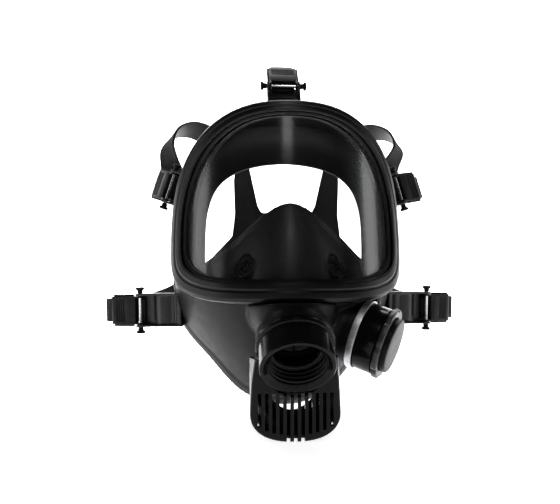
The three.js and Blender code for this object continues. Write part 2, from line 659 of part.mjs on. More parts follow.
const screwMatrix = new THREE.Matrix4().makeRotationX(Math.PI / 2).setPosition(29.4, 0.3, 0);
addPart(side, 'clamp_screw', moved(moved(screwDriven, screwMatrix), clampTurn), steel);

// Grip bezel: eight soft corners, with finger notches between them.
function bezelRow(height, grow) {
  const row = [];
  const steps = 40;
  for (let i = 0; i < steps; i += 1) {
    const a = (2 * Math.PI * i) / steps;
    const notch = 1.5 * Math.max(0, Math.cos(8 * a)) ** 4;
    const r = BEZEL_R - notch + grow;
    row.push(new THREE.Vector3(r * Math.cos(a), height, r * Math.sin(a)));
  }
  return row;
}
const BEZEL_ROWS = [[18.4, -0.8], [19, 0], [22, 0], [22.8, -0.8]];
const bezelSolid = skin(BEZEL_ROWS.map(([height, grow]) => bezelRow(height, grow)), false);
const bezel = without(bezelSolid, [rod(22.2 + GAP, 10, 21.4, 32), rod(CAP_R + 0.4, 10, 40, 32)]);
addPart(side, 'bezel_ring', bezel, satin);
addPart(side, 'side_cap', turned([
  [0, 21.6], [CAP_R - 2.5, 21.6], [CAP_R - 2.5, 17], [CAP_R - 1.2, 17], [CAP_R - 1.2, 21.6], [CAP_R, 21.6],
  [CAP_R, CAP_TOP - 0.8], [CAP_R - 0.8, CAP_TOP], [0, CAP_TOP],
], 26), greyPlastic);

// ---------------------------------------------------------------- buckles

const BUCKLES = [
  {
    name: 'top',
    pin: vector(0, 35, 140.5),
    out: vector(0, 0.66, 0.75),
    face: vector(0, -0.75, 0.66),
    lug: 36,
  },
  {
    name: 'temple_left',
    pin: vector(-94, 30, 53.8),
    out: vector(-0.55, 0.81, 0.2),
    face: vector(-0.78, -0.58, 0.25),
    lug: 17,
  },
  {
    name: 'temple_right',
    pin: vector(98, 31, 53.8),
    out: vector(0.8, 0.58, 0.15),
    face: vector(0.55, -0.8, 0.25),
    lug: 20,
  },
  {
    name: 'lower_left',
    pin: vector(-120, 41, -49),
    out: vector(-0.93, 0.37, -0.03),
    face: vector(-0.37, -0.93, 0),
    lug: 36,
  },
  {
    name: 'lower_right',
    pin: vector(127, 46, -49),
    out: vector(0.9, 0.43, -0.03),
    face: vector(0.43, -0.9, 0),
    lug: 40,
  },
];

// Buckle frame: local X out along the strap, local Y along the pin, local Z off the face,
// origin where the pin's axis meets the base.
for (const buckle of BUCKLES) {
  const out = buckle.out.clone().normalize();
  const face = buckle.face.clone().addScaledVector(out, -buckle.face.dot(out)).normalize();
  const along = new THREE.Vector3().crossVectors(face, out);
  buckle.matrix = new THREE.Matrix4().makeBasis(out, along, face)
    .setPosition(buckle.pin.clone().addScaledVector(face, -PIN_HEIGHT));
}

const pinMatrix = new THREE.Matrix4().makeTranslation(0, 0, PIN_HEIGHT);
const pinHole = moved(rod(PIN_HOLE_R, -30, 30, 12), pinMatrix);

function buckleBase(lug) {
  const wall = BUCKLE_HALF - FLANGE_WALL;
  const outline = new THREE.Shape();
  outline.moveTo(-lug, 0);
  outline.lineTo(4.4, 0);
  outline.lineTo(4.4, PIN_HEIGHT);
  outline.absarc(0, PIN_HEIGHT, 4.2, 0, Math.PI * 0.75, false);
  outline.lineTo(-10, 4.6);
  outline.lineTo(-lug, 3.2);
  const cheek = (y) => {
    const shape = new THREE.ExtrudeGeometry(outline, {
      depth: FLANGE_WALL,
      bevelEnabled: false,
      curveSegments: 3,
    });
    shape.rotateX(Math.PI / 2);
    shape.translate(0, y, 0);
    return toSolid(shape);
  };
  const floor = block(-lug, 3.6, -BUCKLE_HALF, BUCKLE_HALF, -2.6, 0.001);
  const ramp = block(-lug, -lug + 3, -BUCKLE_HALF, BUCKLE_HALF, -2.6, 3);
  return without(joined([floor, ramp, cheek(BUCKLE_HALF), cheek(-wall)]), [pinHole]);
}

function bucklePin() {
  const head = (sign) => turned([[0, 0], [PIN_R + 0.4, 0], [HEAD_R, 1.7], [HEAD_R, 3], [0, 3]], 12)
    .transform(new THREE.Matrix4().makeScale(1, sign, 1).setPosition(0, sign * PIN_HALF, 0).elements);
  return moved(joined([rod(PIN_R, -PIN_HALF - 0.2, PIN_HALF + 0.2, 12), head(1), head(-1)]), pinMatrix);
}

function buckleLever() {
  const arm = BUCKLE_HALF - FLANGE_WALL - GAP;
  const outline = new THREE.Shape();
  outline.moveTo(7, 3.4);
  outline.lineTo(LEVER_REACH - 3, 3.1);
  outline.lineTo(LEVER_REACH, 3.6);
  outline.lineTo(LEVER_REACH, 5.2);
  outline.lineTo(LEVER_REACH - 2, 6.2);
  outline.lineTo(9, 7.6);
  outline.absarc(0, PIN_HEIGHT, 3.4, Math.PI * 0.35, -Math.PI * 0.3, false);
  const profile = (width) => {
    const shape = new THREE.ExtrudeGeometry(outline, { depth: width, bevelEnabled: false, curveSegments: 4 });
    shape.rotateX(Math.PI / 2);
    return toSolid(shape);
  };
  const body = shifted(profile(2 * arm), 0, arm, 0);
  const gap = block(-6, 3.4, -arm + ARM_WALL, arm - ARM_WALL, -5, 20);
  const tip = LEVER_REACH - 2.5;
  const wings = [
    block(6.4, tip, -WING_HALF, -arm + 0.2, 3.6, 6),
    block(6.4, tip, arm - 0.2, WING_HALF, 3.6, 6),
  ];
  return without(joined([body, ...wings]), [gap, pinHole]);
}

const levers = new Map();
for (const buckle of BUCKLES) {
  const group = addGroup(buckle.matrix);
  buckle.base = buckleBase(buckle.lug);
  addPart(group, `buckle_pin_${buckle.name}`, bucklePin(), steel);
  levers.set(buckle.name, addPart(group, `buckle_lever_${buckle.name}`, buckleLever(), satin));
}
// The bases are trimmed where they run onto the face blank and behind the visor frame.
const blankRoom = joined([-1, 1].flatMap((s) => [0, 1].map((k) => (
  blank.transform(new THREE.Matrix4().makeTranslation(s * GAP * k, -s * GAP * (1 - k), 0).elements)))));
for (const buckle of BUCKLES) {
  const group = addGroup(buckle.matrix);
  const inRow = moved(buckle.base, buckle.matrix);
  const trimmed = largest(without(inRow, [blankRoom, frameRoom, cavity(0)]));
  addPart(group, `buckle_base_${buckle.name}`, moved(trimmed, buckle.matrix.clone().invert()), rubber);
}

// ---------------------------------------------------------------- straps

// A flat strap along a smooth route. Each stop is a point and the direction of the width.
function strap(stops, steps) {
  const route = new THREE.CatmullRomCurve3(stops.map((s) => s.at), false, 'centripetal');
  const width = new THREE.CatmullRomCurve3(stops.map((s) => s.width), false, 'catmullrom', 0.3);
  const rows = [];
  for (let i = 0; i <= steps; i += 1) {
    const t = i / steps;
    const tangent = route.getTangent(t);
    const across = width.getPoint(t);
    across.addScaledVector(tangent, -across.dot(tangent)).normalize();
    const normal = new THREE.Vector3().crossVectors(tangent, across);
    const at = route.getPoint(t);
    rows.push([[-1, -1], [1, -1], [1, 1], [-1, 1]].map(([a, b]) => at.clone()
      .addScaledVector(across, a * STRAP_HALF)
      .addScaledVector(normal, (b * STRAP_THICK) / 2)));
  }
  return skin(rows, false);
}

// The end in the buckle: under the pin, out past the lever, round a bend and back behind.
function buckleStops(buckle, behind) {
  const across = vector(0, 1, 0);
  const low = STRAP_THICK / 2 + GAP;
  const back = -8.4;
  const middle = (low + back) / 2;
  const bend = (low - back) / 2;
  const stops = [-3, 6, 20, STRAP_REACH - bend].map((x) => vector(x, 0, low));
  for (let i = 1; i <= 3; i += 1) {
    const a = Math.PI / 2 - (Math.PI * i) / 4;
    stops.push(vector(STRAP_REACH - bend + bend * Math.cos(a), 0, middle + bend * Math.sin(a)));
  }
  stops.push(vector(STRAP_REACH - bend, 0, back));
  behind.forEach((x) => stops.push(vector(x, 0, back)));
  return stops.map((at) => ({
    at: at.applyMatrix4(buckle.matrix),
    width: across.clone().transformDirection(buckle.matrix),
  }));
}

// Stops are written for the right side. The width points up there and down on the left.
const stopOn = (flip, shift) => ([x, y, z], [a, b, c]) => ({
  at: vector(flip * x + shift, y, z),
  width: vector(a, flip * b, flip * c).normalize(),
});
const byName = Object.fromEntries(BUCKLES.map((b) => [b.name, b]));

const topStop = stopOn(1, 0);
addPart(model, 'strap_top', strap([
  ...buckleStops(byName.top, [16, 4]),
  topStop([1, 68, 144], [1, 0, 0]), topStop([4, 92, 132], [1, 0, 0]), topStop([8, 106, 118], [1, 0, 0]),
  topStop([9, 110, 106.4], [1, 0, 0]),
], 32), rubber);
for (const [name, flip, sway] of [['left', -1, 0], ['right', 1, 7]]) {
  addPart(model, `strap_temple_${name}`, strap([
    ...buckleStops(byName[`temple_${name}`], [14, 5]),
    stopOn(flip, sway)([97 - 0.8 * sway, 61, 75], [0.2, 0.93, -0.3]),
    stopOn(flip, sway)([99, 62, 93], [0.1, 0.9, -0.35]),
    stopOn(flip, sway)([92, 70, 106], [0.3, 0.8, -0.4]),
    stopOn(flip, sway)([78, 83, 111], [0.45, 0.6, -0.6]),
    stopOn(flip, 5)([60, 98, 103], [0.6, 0.3, -0.75]),
    stopOn(flip, 9)([44.4, 110, 93.4], [0.62, 0, -0.78]),
  ], 36), rubber);
  addPart(model, `strap_lower_${name}`, strap([
    ...buckleStops(byName[`lower_${name}`], [16, 2]),
    stopOn(flip, 0)([112, 66, -46], [0, 0, 1]),
    stopOn(flip, 2)([98, 88, -40], [0.2, 0, 1]),
    stopOn(flip, 6)([82, 103, -28], [0.5, 0, 0.85]),
    stopOn(flip, 9)([66.8, 110, -14.3], [0.66, 0, 0.75]),
  ], 32), rubber);
}

// ---------------------------------------------------------------- harness plate

// A trapezoid ring with a tab for each strap, lying behind the head.
function harnessPlate() {
  const shape = new THREE.Shape();
  const right = [[10, 49], [11, 42], [32, 43], [36.8, 43.7], [48.8, 28.1], [50.5, 12], [49.5, -20],
    [52, -41], [71.6, -61.8], [58.6, -76.8], [38, -56], [24, -44], [0, -40]];
  const outline = [...right, ...right.slice(0, -1).reverse().map(([x, z]) => [-x, z])];
  outline.forEach(([x, z], i) => (i ? shape.lineTo(x, z) : shape.moveTo(x, z)));
  const hole = new THREE.Path();
  const inner = [[30, 31], [-30, 31], [-36, 26], [-27.5, -12],
    [-24, -18.5], [24, -18.5], [27.5, -12], [36, 26]];
  inner.forEach(([x, z], i) => (i ? hole.lineTo(x, z) : hole.moveTo(x, z)));
  shape.holes.push(hole);
  const geometry = new THREE.ExtrudeGeometry(shape, { depth: PLATE_THICK, bevelEnabled: false });
  geometry.rotateX(Math.PI / 2);
  geometry.translate(PLATE_CENTRE.x, PLATE_CENTRE.y + PLATE_THICK / 2, PLATE_CENTRE.z);
  return toSolid(geometry);
}
addPart(model, 'harness_plate', harnessPlate(), rubber);

export default model;
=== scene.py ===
# Looks of a full face respirator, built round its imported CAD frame. Shapes are written in
# millimetres in the CAD's own frame, and scaled to metres when a mesh is made.
import math

import bmesh
import bpy
import numpy as np
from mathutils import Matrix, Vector


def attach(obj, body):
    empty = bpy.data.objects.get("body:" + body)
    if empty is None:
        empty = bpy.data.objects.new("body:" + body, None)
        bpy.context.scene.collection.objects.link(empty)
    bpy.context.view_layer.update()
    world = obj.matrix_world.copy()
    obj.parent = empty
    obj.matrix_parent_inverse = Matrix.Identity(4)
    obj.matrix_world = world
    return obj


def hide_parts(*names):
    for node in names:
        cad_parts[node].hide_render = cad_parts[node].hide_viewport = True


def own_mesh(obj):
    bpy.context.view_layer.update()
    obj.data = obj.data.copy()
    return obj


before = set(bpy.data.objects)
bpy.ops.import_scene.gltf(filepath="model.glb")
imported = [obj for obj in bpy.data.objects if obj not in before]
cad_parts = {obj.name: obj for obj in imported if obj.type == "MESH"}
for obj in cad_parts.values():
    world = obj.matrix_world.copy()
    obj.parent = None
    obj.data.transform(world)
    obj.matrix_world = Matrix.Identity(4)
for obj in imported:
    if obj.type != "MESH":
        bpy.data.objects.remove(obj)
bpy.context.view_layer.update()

MM = 0.001
TAU = 2 * math.pi

# ------------------------------------------------------------------ driving dimensions
GAP = 0.3  # between parts that don't touch
VISOR_LEAN = math.radians(9)
VISOR_RADIUS = 95.0
VISOR_AXIS_Y = 44.6
FRAME_OUTLINE = dict(half=87.5, top=105, bottom=-45, widest=3.3, arch=2.7, sill=3.5)
VIEW_OUTLINE = dict(half=76, top=94.5, bottom=-28, widest=5, arch=2.6, sill=3.2)
BLANK_WALL = 3.0
PORT_ORIGIN = np.array([0, -67.3, -63.3])
PORT_DROP = math.radians(39.7)  # how far the connector points below level
THREAD_MAJOR = 20.2
THREAD_MINOR = 18.9
THREAD_PITCH = 3.63
EXHALE_DROP = 47.0  # from the connector's axis down to the exhalation valve's
SIDE_ORIGIN = np.array([54.5, -25.5, -62.5])
SIDE_BOSS_TOP = 3.0
BAND_LOW, BAND_HIGH = -2.3, 2.7
CAP_TOP = 27.4
CUP_SEAT = 7.0
INHALE_OPENING = 16.6
BOSS_R = 25.7
EXHALE_SEAT_R = 17.5
EXHALE_HOLE_R = 17.8
PIN_HOLE_R = 1.72
PIN_HEIGHT = 5.2
STRAP_HALF = 9.8
STRAP_THICK = 2.2
STRAP_REACH = 36.0
PLATE_CENTRE = np.array([9.0, 110.0, 56.0])
PLATE_THICK = 3.0


def unit(v):
    v = np.asarray(v, float)
    return v / np.linalg.norm(v)


def basis(x, y, z, origin):
    """A function from local points to the row frame."""
    axes = np.array([x, y, z], float)
    return lambda points: np.asarray(points, float) @ axes + origin


port_out = np.array([0, -math.cos(PORT_DROP), -math.sin(PORT_DROP)])
port_down = np.array([0, math.sin(PORT_DROP), -math.cos(PORT_DROP)])
port = basis([1, 0, 0], port_out, port_down, PORT_ORIGIN)
exhale = basis([1, 0, 0], port_out, port_down, PORT_ORIGIN + EXHALE_DROP * port_down)
side_axis = unit([0.85, -0.44, -0.3])
side_up = unit(np.array([0, 0, 1]) - side_axis * side_axis[2])
side_across = np.cross(side_axis, side_up)
side = basis(side_across, side_axis, side_up, SIDE_ORIGIN)
identity = basis([1, 0, 0], [0, 1, 0], [0, 0, 1], np.zeros(3))


def lean(points):
    """From the visor's frame to the row frame."""
    p = np.asarray(points, float)
    c, s = math.cos(VISOR_LEAN), math.sin(VISOR_LEAN)
    return np.stack([p[..., 0], c * p[..., 1] + s * p[..., 2], -s * p[..., 1] + c * p[..., 2]], -1)


# ------------------------------------------------------------------ camera, light, floor
scene = bpy.context.scene
CAMERA_AZIMUTH = math.radians(-5)
CAMERA_DISTANCE = 0.52
camera_data = bpy.data.cameras.new("camera")
camera_data.sensor_width = 36
camera_data.lens = 42.1
camera_data.shift_x = -0.0125
camera = bpy.data.objects.new("camera", camera_data)
camera.location = (CAMERA_DISTANCE * math.sin(CAMERA_AZIMUTH),
                   -CAMERA_DISTANCE * math.cos(CAMERA_AZIMUTH), 0)
camera.rotation_euler = (math.pi / 2, 0, CAMERA_AZIMUTH)
scene.collection.objects.link(camera)
scene.camera = camera


def softbox(name, at, target, size, power):
    """A rectangular soft light, in metres and watts, aimed at its target."""
    data = bpy.data.lights.new(name, "AREA")
    data.shape = "RECTANGLE"
    data.size, data.size_y = size
    data.energy = power
    light = bpy.data.objects.new(name, data)
    light.location = at
    aim = Vector(target) - Vector(at)
    light.rotation_euler = aim.to_track_quat("-Z", "Y").to_euler()
    scene.collection.objects.link(light)


softbox("key_top", (0.02, -0.75, 0.64), (0, 0, 0.03), (0.14, 0.36), 1.3)
softbox("fill_left", (-0.95, 0.04, 0.1), (0, 0, 0), (0.3, 0.7), 1.0)
softbox("cheek_left", (-0.92, -0.32, 0.03), (-0.1, 0.03, -0.05), (0.2, 0.4), 0.7)
softbox("fill_right", (0.95, 0.04, 0.1), (0, 0, 0), (0.3, 0.7), 1.1)
softbox("backdrop_wash", (0, 0.7, 1.2), (0, 2.2, 0.1), (2.0, 0.6), 130)

world = bpy.data.worlds.new("studio")
world.use_nodes = True
world.node_tree.nodes["Background"].inputs[0].default_value = (1, 1, 1, 1)
world.node_tree.nodes["Background"].inputs[1].default_value = 0.035
scene.world = world
scene.view_settings.view_transform = "Standard"


# ------------------------------------------------------------------ materials
class Graph:
    def __init__(self, name):
        self.material = bpy.data.materials.new(name)
        self.material.use_nodes = True
        self.nodes = self.material.node_tree.nodes
        self.links = self.material.node_tree.links
        self.shader = self.nodes["Principled BSDF"]
        self.place = self.nodes.new("ShaderNodeTexCoord").outputs["Object"]

    def noise(self, scale, detail=4, roughness=0.55):
        node = self.nodes.new("ShaderNodeTexNoise")
        node.inputs["Scale"].default_value = scale
        node.inputs["Detail"].default_value = detail
        node.inputs["Roughness"].default_value = roughness
        self.links.new(self.place, node.inputs["Vector"])
        return node.outputs["Fac"]

    def spread(self, value, low, high, start=0.3, end=0.7):
        node = self.nodes.new("ShaderNodeMapRange")
        for key, number in zip(("From Min", "From Max", "To Min", "To Max"), (start, end, low, high)):
            node.inputs[key].default_value = number
        self.links.new(value, node.inputs["Value"])
        return node.outputs["Result"]

    def tint(self, value, dark, light):
        node = self.nodes.new("ShaderNodeValToRGB")
        for stop, at, colour in zip(node.color_ramp.elements, (0.3, 0.7), (dark, light)):
            stop.position = at
            stop.color = (*colour, 1)
        self.links.new(value, node.inputs["Fac"])
        self.links.new(node.outputs["Color"], self.shader.inputs["Base Color"])

    def bump(self, value, distance, strength=1.0):
        node = self.nodes.new("ShaderNodeBump")
        node.inputs["Distance"].default_value = distance * MM
        node.inputs["Strength"].default_value = strength
        self.links.new(value, node.inputs["Height"])
        self.links.new(node.outputs["Normal"], self.shader.inputs["Normal"])


def moulded(name, dark, light, rough, grain, depth, specular=0.5):
    """Moulded rubber or plastic: soft cloudy colour, uneven polish, fine grain."""
    g = Graph(name)
    g.tint(g.noise(38, 6), dark, light)
    g.links.new(g.spread(g.noise(90, 5), *rough), g.shader.inputs["Roughness"])
    g.bump(g.noise(grain, 3), depth, 0.5)
    g.shader.inputs["Specular IOR Level"].default_value = specular
    return g.material


def metal(name, dark, light, rough, stretch, depth):
    """Steel: streaks drawn along one direction, uneven polish."""
    g = Graph(name)
    mapping = g.nodes.new("ShaderNodeMapping")
    mapping.inputs["Scale"].default_value = stretch
    g.links.new(g.place, mapping.inputs["Vector"])
    g.place = mapping.outputs["Vector"]
    g.tint(g.noise(60, 4), dark, light)
    g.links.new(g.spread(g.noise(400, 3), *rough), g.shader.inputs["Roughness"])
    g.bump(g.noise(900, 2), depth, 0.4)
    g.shader.inputs["Metallic"].default_value = 1.0
    return g.material


def clear_lens():
    """Polycarbonate: nearly clear face on, more mirror-like where it turns away."""
    g = Graph("clear_lens")
    g.tint(g.noise(14, 2), (0.05, 0.053, 0.055), (0.07, 0.073, 0.075))
    g.links.new(g.spread(g.noise(120, 3), 0.13, 0.17), g.shader.inputs["Roughness"])
    g.shader.inputs["IOR"].default_value = 1.9
    g.shader.inputs["Specular IOR Level"].default_value = 1.0
    facing = g.nodes.new("ShaderNodeLayerWeight")
    facing.inputs["Blend"].default_value = 0.5
    g.links.new(g.spread(facing.outputs["Facing"], 0.045, 0.35, 0.21, 0.36), g.shader.inputs["Alpha"])
    return g.material


# darkest and lightest grey, roughness from and to, grain scale, grain depth in mm, specular level
DARK_PARTS = {
    "frame_plastic": (0.002, 0.004, (0.3, 0.4), 1500, 0.015, 0.25),
    "blank_rubber": (0.0015, 0.003, (0.4, 0.5), 1100, 0.03, 0.2),
    "seal_rubber": (0.003, 0.006, (0.34, 0.44), 1000, 0.03, 0.35),
    "lug_rubber": (0.004, 0.008, (0.3, 0.42), 1200, 0.03, 0.5),
    "strap_rubber": (0.003, 0.006, (0.42, 0.56), 1300, 0.04, 0.25),
    "valve_rubber": (0.01, 0.018, (0.5, 0.6), 900, 0.02, 0.4),
    "gloss_plastic": (0.002, 0.004, (0.14, 0.22), 1600, 0.008, 0.14),
    "satin_plastic": (0.003, 0.006, (0.34, 0.46), 1500, 0.02, 0.12),
    "bezel_plastic": (0.013, 0.022, (0.3, 0.42), 1400, 0.02, 0.5),
}
materials = {
    **{name: moulded(name, (dark,) * 3, (light,) * 3, *rest)
       for name, (dark, light, *rest) in DARK_PARTS.items()},
    "cap_plastic": moulded("cap_plastic", (0.055, 0.056, 0.059), (0.072, 0.072, 0.076), (0.5, 0.62), 1200,
                           0.03),
    "bright_steel": metal("bright_steel", (0.6, 0.61, 0.63), (0.8, 0.81, 0.83), (0.1, 0.22), (1, 1, 1),
                          0.004),
    "band_steel": metal("band_steel", (0.66, 0.67, 0.69), (0.86, 0.87, 0.89), (0.34, 0.46), (1, 1, 6),
                        0.008),
    "clear_lens": clear_lens(),
}


def pale(name, scale, detail, glow):
    """A pale studio surface that glows a little by itself."""
    g = Graph(name)
    g.tint(g.noise(scale, detail), (0.86, 0.86, 0.86), (0.9, 0.9, 0.9))
    g.shader.inputs["Emission Color"].default_value = (1, 1, 1, 1)
    g.shader.inputs["Emission Strength"].default_value = glow
    return g


floor_graph = pale("pale_floor", 3, 3, 0.8)
floor_graph.links.new(floor_graph.spread(floor_graph.noise(20, 3), 0.7, 0.85),
                      floor_graph.shader.inputs["Roughness"])
wall_graph = pale("pale_wall", 1, 2, 1.0)


# ------------------------------------------------------------------ mesh making
def raw_object(name, points, faces):
    """A closed mesh from points in millimetres, with its normals outward."""
    bm = bmesh.new()
    verts = [bm.verts.new(tuple(p)) for p in np.asarray(points, float) * MM]
    for face in faces:
        corners = [verts[i] for i in face]
        if len(set(corners)) > 2:
            try:
                bm.faces.new(corners)
            except ValueError:
                pass
    bmesh.ops.remove_doubles(bm, verts=bm.verts, dist=1e-7)
    bmesh.ops.dissolve_degenerate(bm, edges=bm.edges, dist=1e-7)
    bmesh.ops.recalc_face_normals(bm, faces=bm.faces)
    mesh = bpy.data.meshes.new(name)
    bm.to_mesh(mesh)
    bm.free()
    obj = bpy.data.objects.new(name, mesh)
    scene.collection.objects.link(obj)
    return obj


def loft(name, rows, ring=False):
    """Closed sections joined in order: a ring, or a body with a fan at each end."""
    rows = np.asarray(rows, float)
    count, across = rows.shape[:2]
    faces = []
    for i in range(count if ring else count - 1):
        j = (i + 1) % count
        for k in range(across):
            m = (k + 1) % across
            faces.append((i * across + k, j * across + k, j * across + m, i * across + m))
    points = rows.reshape(-1, 3)
    if not ring:
        for row in (0, count - 1):
            points = np.vstack([points, rows[row].mean(0)])
            centre = len(points) - 1
            for k in range(across):
                faces.append((row * across + k, row * across + (k + 1) % across, centre))
    return raw_object(name, points, faces)


def fillet(corners, radius, steps=4):
    """A closed 2-D outline with each corner rounded."""
    pts = [np.array(c, float) for c in corners]
    out = []
    for i, here in enumerate(pts):
        a, b = pts[i - 1] - here, pts[(i + 1) % len(pts)] - here
        la, lb = np.linalg.norm(a), np.linalg.norm(b)
        if here[0] < 1e-6 or min(la, lb) < 1e-6:
            out.append(here)
            continue
        a, b = a / la, b / lb
        turn = math.acos(float(np.clip(a @ b, -1, 1)))
        if turn > math.radians(172):
            out.append(here)
            continue
        reach = min(radius / math.tan(turn / 2), 0.45 * la, 0.45 * lb)
        start, end = here + a * reach, here + b * reach
        for k in range(steps + 1):
            t = k / steps
            out.append((1 - t) ** 2 * start + 2 * t * (1 - t) * here + t ** 2 * end)
    return np.array(out)


def lathe(name, profile, place, radius=0.35, steps=112):
    """A turned piece round local Y from closed [radius, height] corners."""
    ring = fillet(profile, radius)
    turns = np.arange(steps) * TAU / steps
    rows = [np.stack([ring[:, 0] * math.cos(a), ring[:, 1], ring[:, 0] * math.sin(a)], 1) for a in turns]
    return loft(name, place(np.array(rows)), ring=True)


def tube(name, inner, outer, low, high, place, radius=0.3):
    return lathe(name, [[inner, low], [outer, low], [outer, high], [inner, high]], place, radius)


def rod(name, radius, low, high, place, low_radius=None, edge=0.0, steps=96):
    wide = radius if low_radius is None else low_radius
    return lathe(name, [[0, low], [wide, low], [radius, high], [0, high]], place, edge, steps)


def block(name, x0, x1, y0, y1, z0, z1, place=identity):
    corners = [(x, y, z) for x in (x0, x1) for y in (y0, y1) for z in (z0, z1)]
    faces = [(0, 1, 3, 2), (4, 6, 7, 5), (0, 4, 5, 1), (2, 3, 7, 6), (0, 2, 6, 4), (1, 5, 7, 3)]
    return raw_object(name, place(np.array(corners, float)), faces)


def slab(name, outlines, depth, edge, place):
    """A flat shape with holes and rounded edges: outlines in local X, Z, thickness along Y."""
    data = bpy.data.curves.new(name, "CURVE")
    data.dimensions = "2D"
    data.fill_mode = "BOTH"
    data.extrude = (depth / 2 - edge) * MM
    data.bevel_depth = edge * MM
    data.bevel_resolution = 2
    data.offset = -edge * MM
    for outline in outlines:
        spline = data.splines.new("POLY")
        spline.points.add(len(outline) - 1)
        for point, (x, z) in zip(spline.points, outline):
            point.co = (x * MM, z * MM, 0, 1)
        spline.use_cyclic_u = True
    holder = bpy.data.objects.new(name, data)
    scene.collection.objects.link(holder)
    mesh = bpy.data.meshes.new_from_object(holder.evaluated_get(bpy.context.evaluated_depsgraph_get()))
    points = np.array([v.co for v in mesh.vertices]) / MM
    local = np.stack([points[:, 0], -points[:, 2], points[:, 1]], 1)
    faces = [tuple(p.vertices) for p in mesh.polygons]
    bpy.data.objects.remove(holder)
    bpy.data.curves.remove(data)
    bpy.data.meshes.remove(mesh)
    return raw_object(name, place(local), faces)


def bake(obj):
    """Turns an object's modifiers into its mesh."""
    bpy.context.view_layer.update()
    mesh = bpy.data.meshes.new_from_object(obj.evaluated_get(bpy.context.evaluated_depsgraph_get()))
    obj.modifiers.clear()
    obj.data = mesh
    return obj


def combine(obj, others, operation):
    for other in others:
        modifier = obj.modifiers.new("join", "BOOLEAN")
        modifier.operation = operation
        modifier.solver = "MANIFOLD"
        modifier.object = other
    bake(obj)
    for other in others:
        bpy.data.objects.remove(other)
    return obj


def keep_largest(obj):
    """Drops loose scraps, keeping the connected body with the most faces."""
    bm = bmesh.new()
    bm.from_mesh(obj.data)
    left, bodies = set(bm.verts), []
    while left:
        stack, body = [left.pop()], []
        while stack:
            v = stack.pop()
            body.append(v)
            for edge in v.link_edges:
                w = edge.other_vert(v)
                if w in left:
                    left.remove(w)
                    stack.append(w)
        bodies.append(body)
    bodies.sort(key=len)
    bmesh.ops.delete(bm, geom=[v for body in bodies[:-1] for v in body], context="VERTS")
    bm.to_mesh(obj.data)
    bm.free()
    return obj


def melt(obj, voxel, rounds):
    """Remeshes a body and relaxes it, so that joints between its parts become moulded fillets."""
    modifier = obj.modifiers.new("remesh", "REMESH")
    modifier.mode = "VOXEL"
    modifier.voxel_size = voxel * MM
    modifier = obj.modifiers.new("relax", "SMOOTH")
    modifier.factor = 0.5
    modifier.iterations = rounds
    return keep_largest(bake(obj))


def soften(obj, width):
    """Rounds a piece's sharp edges."""
    modifier = obj.modifiers.new("edges", "BEVEL")
    modifier.width = width * MM
    modifier.segments = 2
    modifier.limit_method = "ANGLE"
    modifier.angle_limit = math.radians(35)
    return bake(obj)


def finish_piece(obj, node, slot, body="facepiece", smooth_angle=38, nodes=None):
    """Shades a piece, gives it its material, and stands it in for its CAD node or nodes."""
    obj.name = "fine_" + node
    obj.data.name = obj.name
    obj.data.materials.clear()
    obj.data.materials.append(materials[slot])
    obj.data.polygons.foreach_set("use_smooth", [True] * len(obj.data.polygons))
    obj.data.set_sharp_from_angle(angle=math.radians(smooth_angle))
    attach(obj, body)
    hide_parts(*(nodes or [node]))
    return obj


# ------------------------------------------------------------------ visor
def visor_point(x, z, height):
    depth = np.sqrt(VISOR_RADIUS ** 2 - x ** 2)
    grow = 1 + height / VISOR_RADIUS
    return np.stack([x * grow, VISOR_AXIS_Y - depth * grow, z + 0 * x], -1)


def outline_point(o, angle):
    c, s = np.cos(angle), np.sin(angle)
    power = np.where(s >= 0, o["arch"], o["sill"])
    reach = np.where(s >= 0, o["top"] - o["widest"], o["widest"] - o["bottom"])
    x = np.sign(c) * o["half"] * np.abs(c) ** (2 / power)
    return x, o["widest"] + np.sign(s) * reach * np.abs(s) ** (2 / power)


def band_point(angle, share, height):
    xi, zi = outline_point(VIEW_OUTLINE, angle)
    xo, zo = outline_point(FRAME_OUTLINE, angle)
    return visor_point(xi + (xo - xi) * share, zi + (zo - zi) * share, height)


def even_angles(count):
    fine = np.linspace(0, TAU, 8001)
    x, z = outline_point(FRAME_OUTLINE, fine)
    run = np.concatenate([[0], np.cumsum(np.hypot(np.diff(x), np.diff(z)))])
    return np.interp(run[-1] * (np.arange(count) + 0.5) / count, run, fine)


ROUND = even_angles(240)
BAND_WIDTH = 12.0  # about how wide the band is, to round its profile's corners evenly
OFF_AXIS = 50  # keeps a profile off the axis, where fillet() leaves corners sharp


def band_ring(name, profile, radius=0.5, angles=ROUND):
    corners = [(s * BAND_WIDTH + OFF_AXIS, h) for s, h in profile]
    shape = fillet(corners, radius) if radius else np.array(corners)
    rows = [[band_point(a, (p[0] - OFF_AXIS) / BAND_WIDTH, p[1]) for p in shape] for a in angles]
    return loft(name, lean(np.array(rows)), ring=True)


FRAME_PROFILE = [(0.14, 5), (0.14, 6.3), (0.22, 7), (0.42, 7), (0.47, 6.4), (0.53, 6.4), (0.58, 6.95),
                 (0.82, 6.6), (0.95, 5), (1, 2.4), (1, -4), (0.56, -4), (0.56, 5)]
finish_piece(band_ring("frame", FRAME_PROFILE), "visor_frame", "frame_plastic")
GASKET_PROFILE = [(0, 1.9), (0, 3.2), (0.1, 4.2), (0.48, 4.2), (0.48, -3.6), (0.03, -3.6), (0.03, -2),
                  (0.38, -2), (0.38, 1.9)]
finish_piece(band_ring("gasket", GASKET_PROFILE, 0.35), "lens_gasket", "blank_rubber")


LENS_EDGE = 0.32  # the share of the band's width that the lens reaches into
LENS_HALF = 1.25


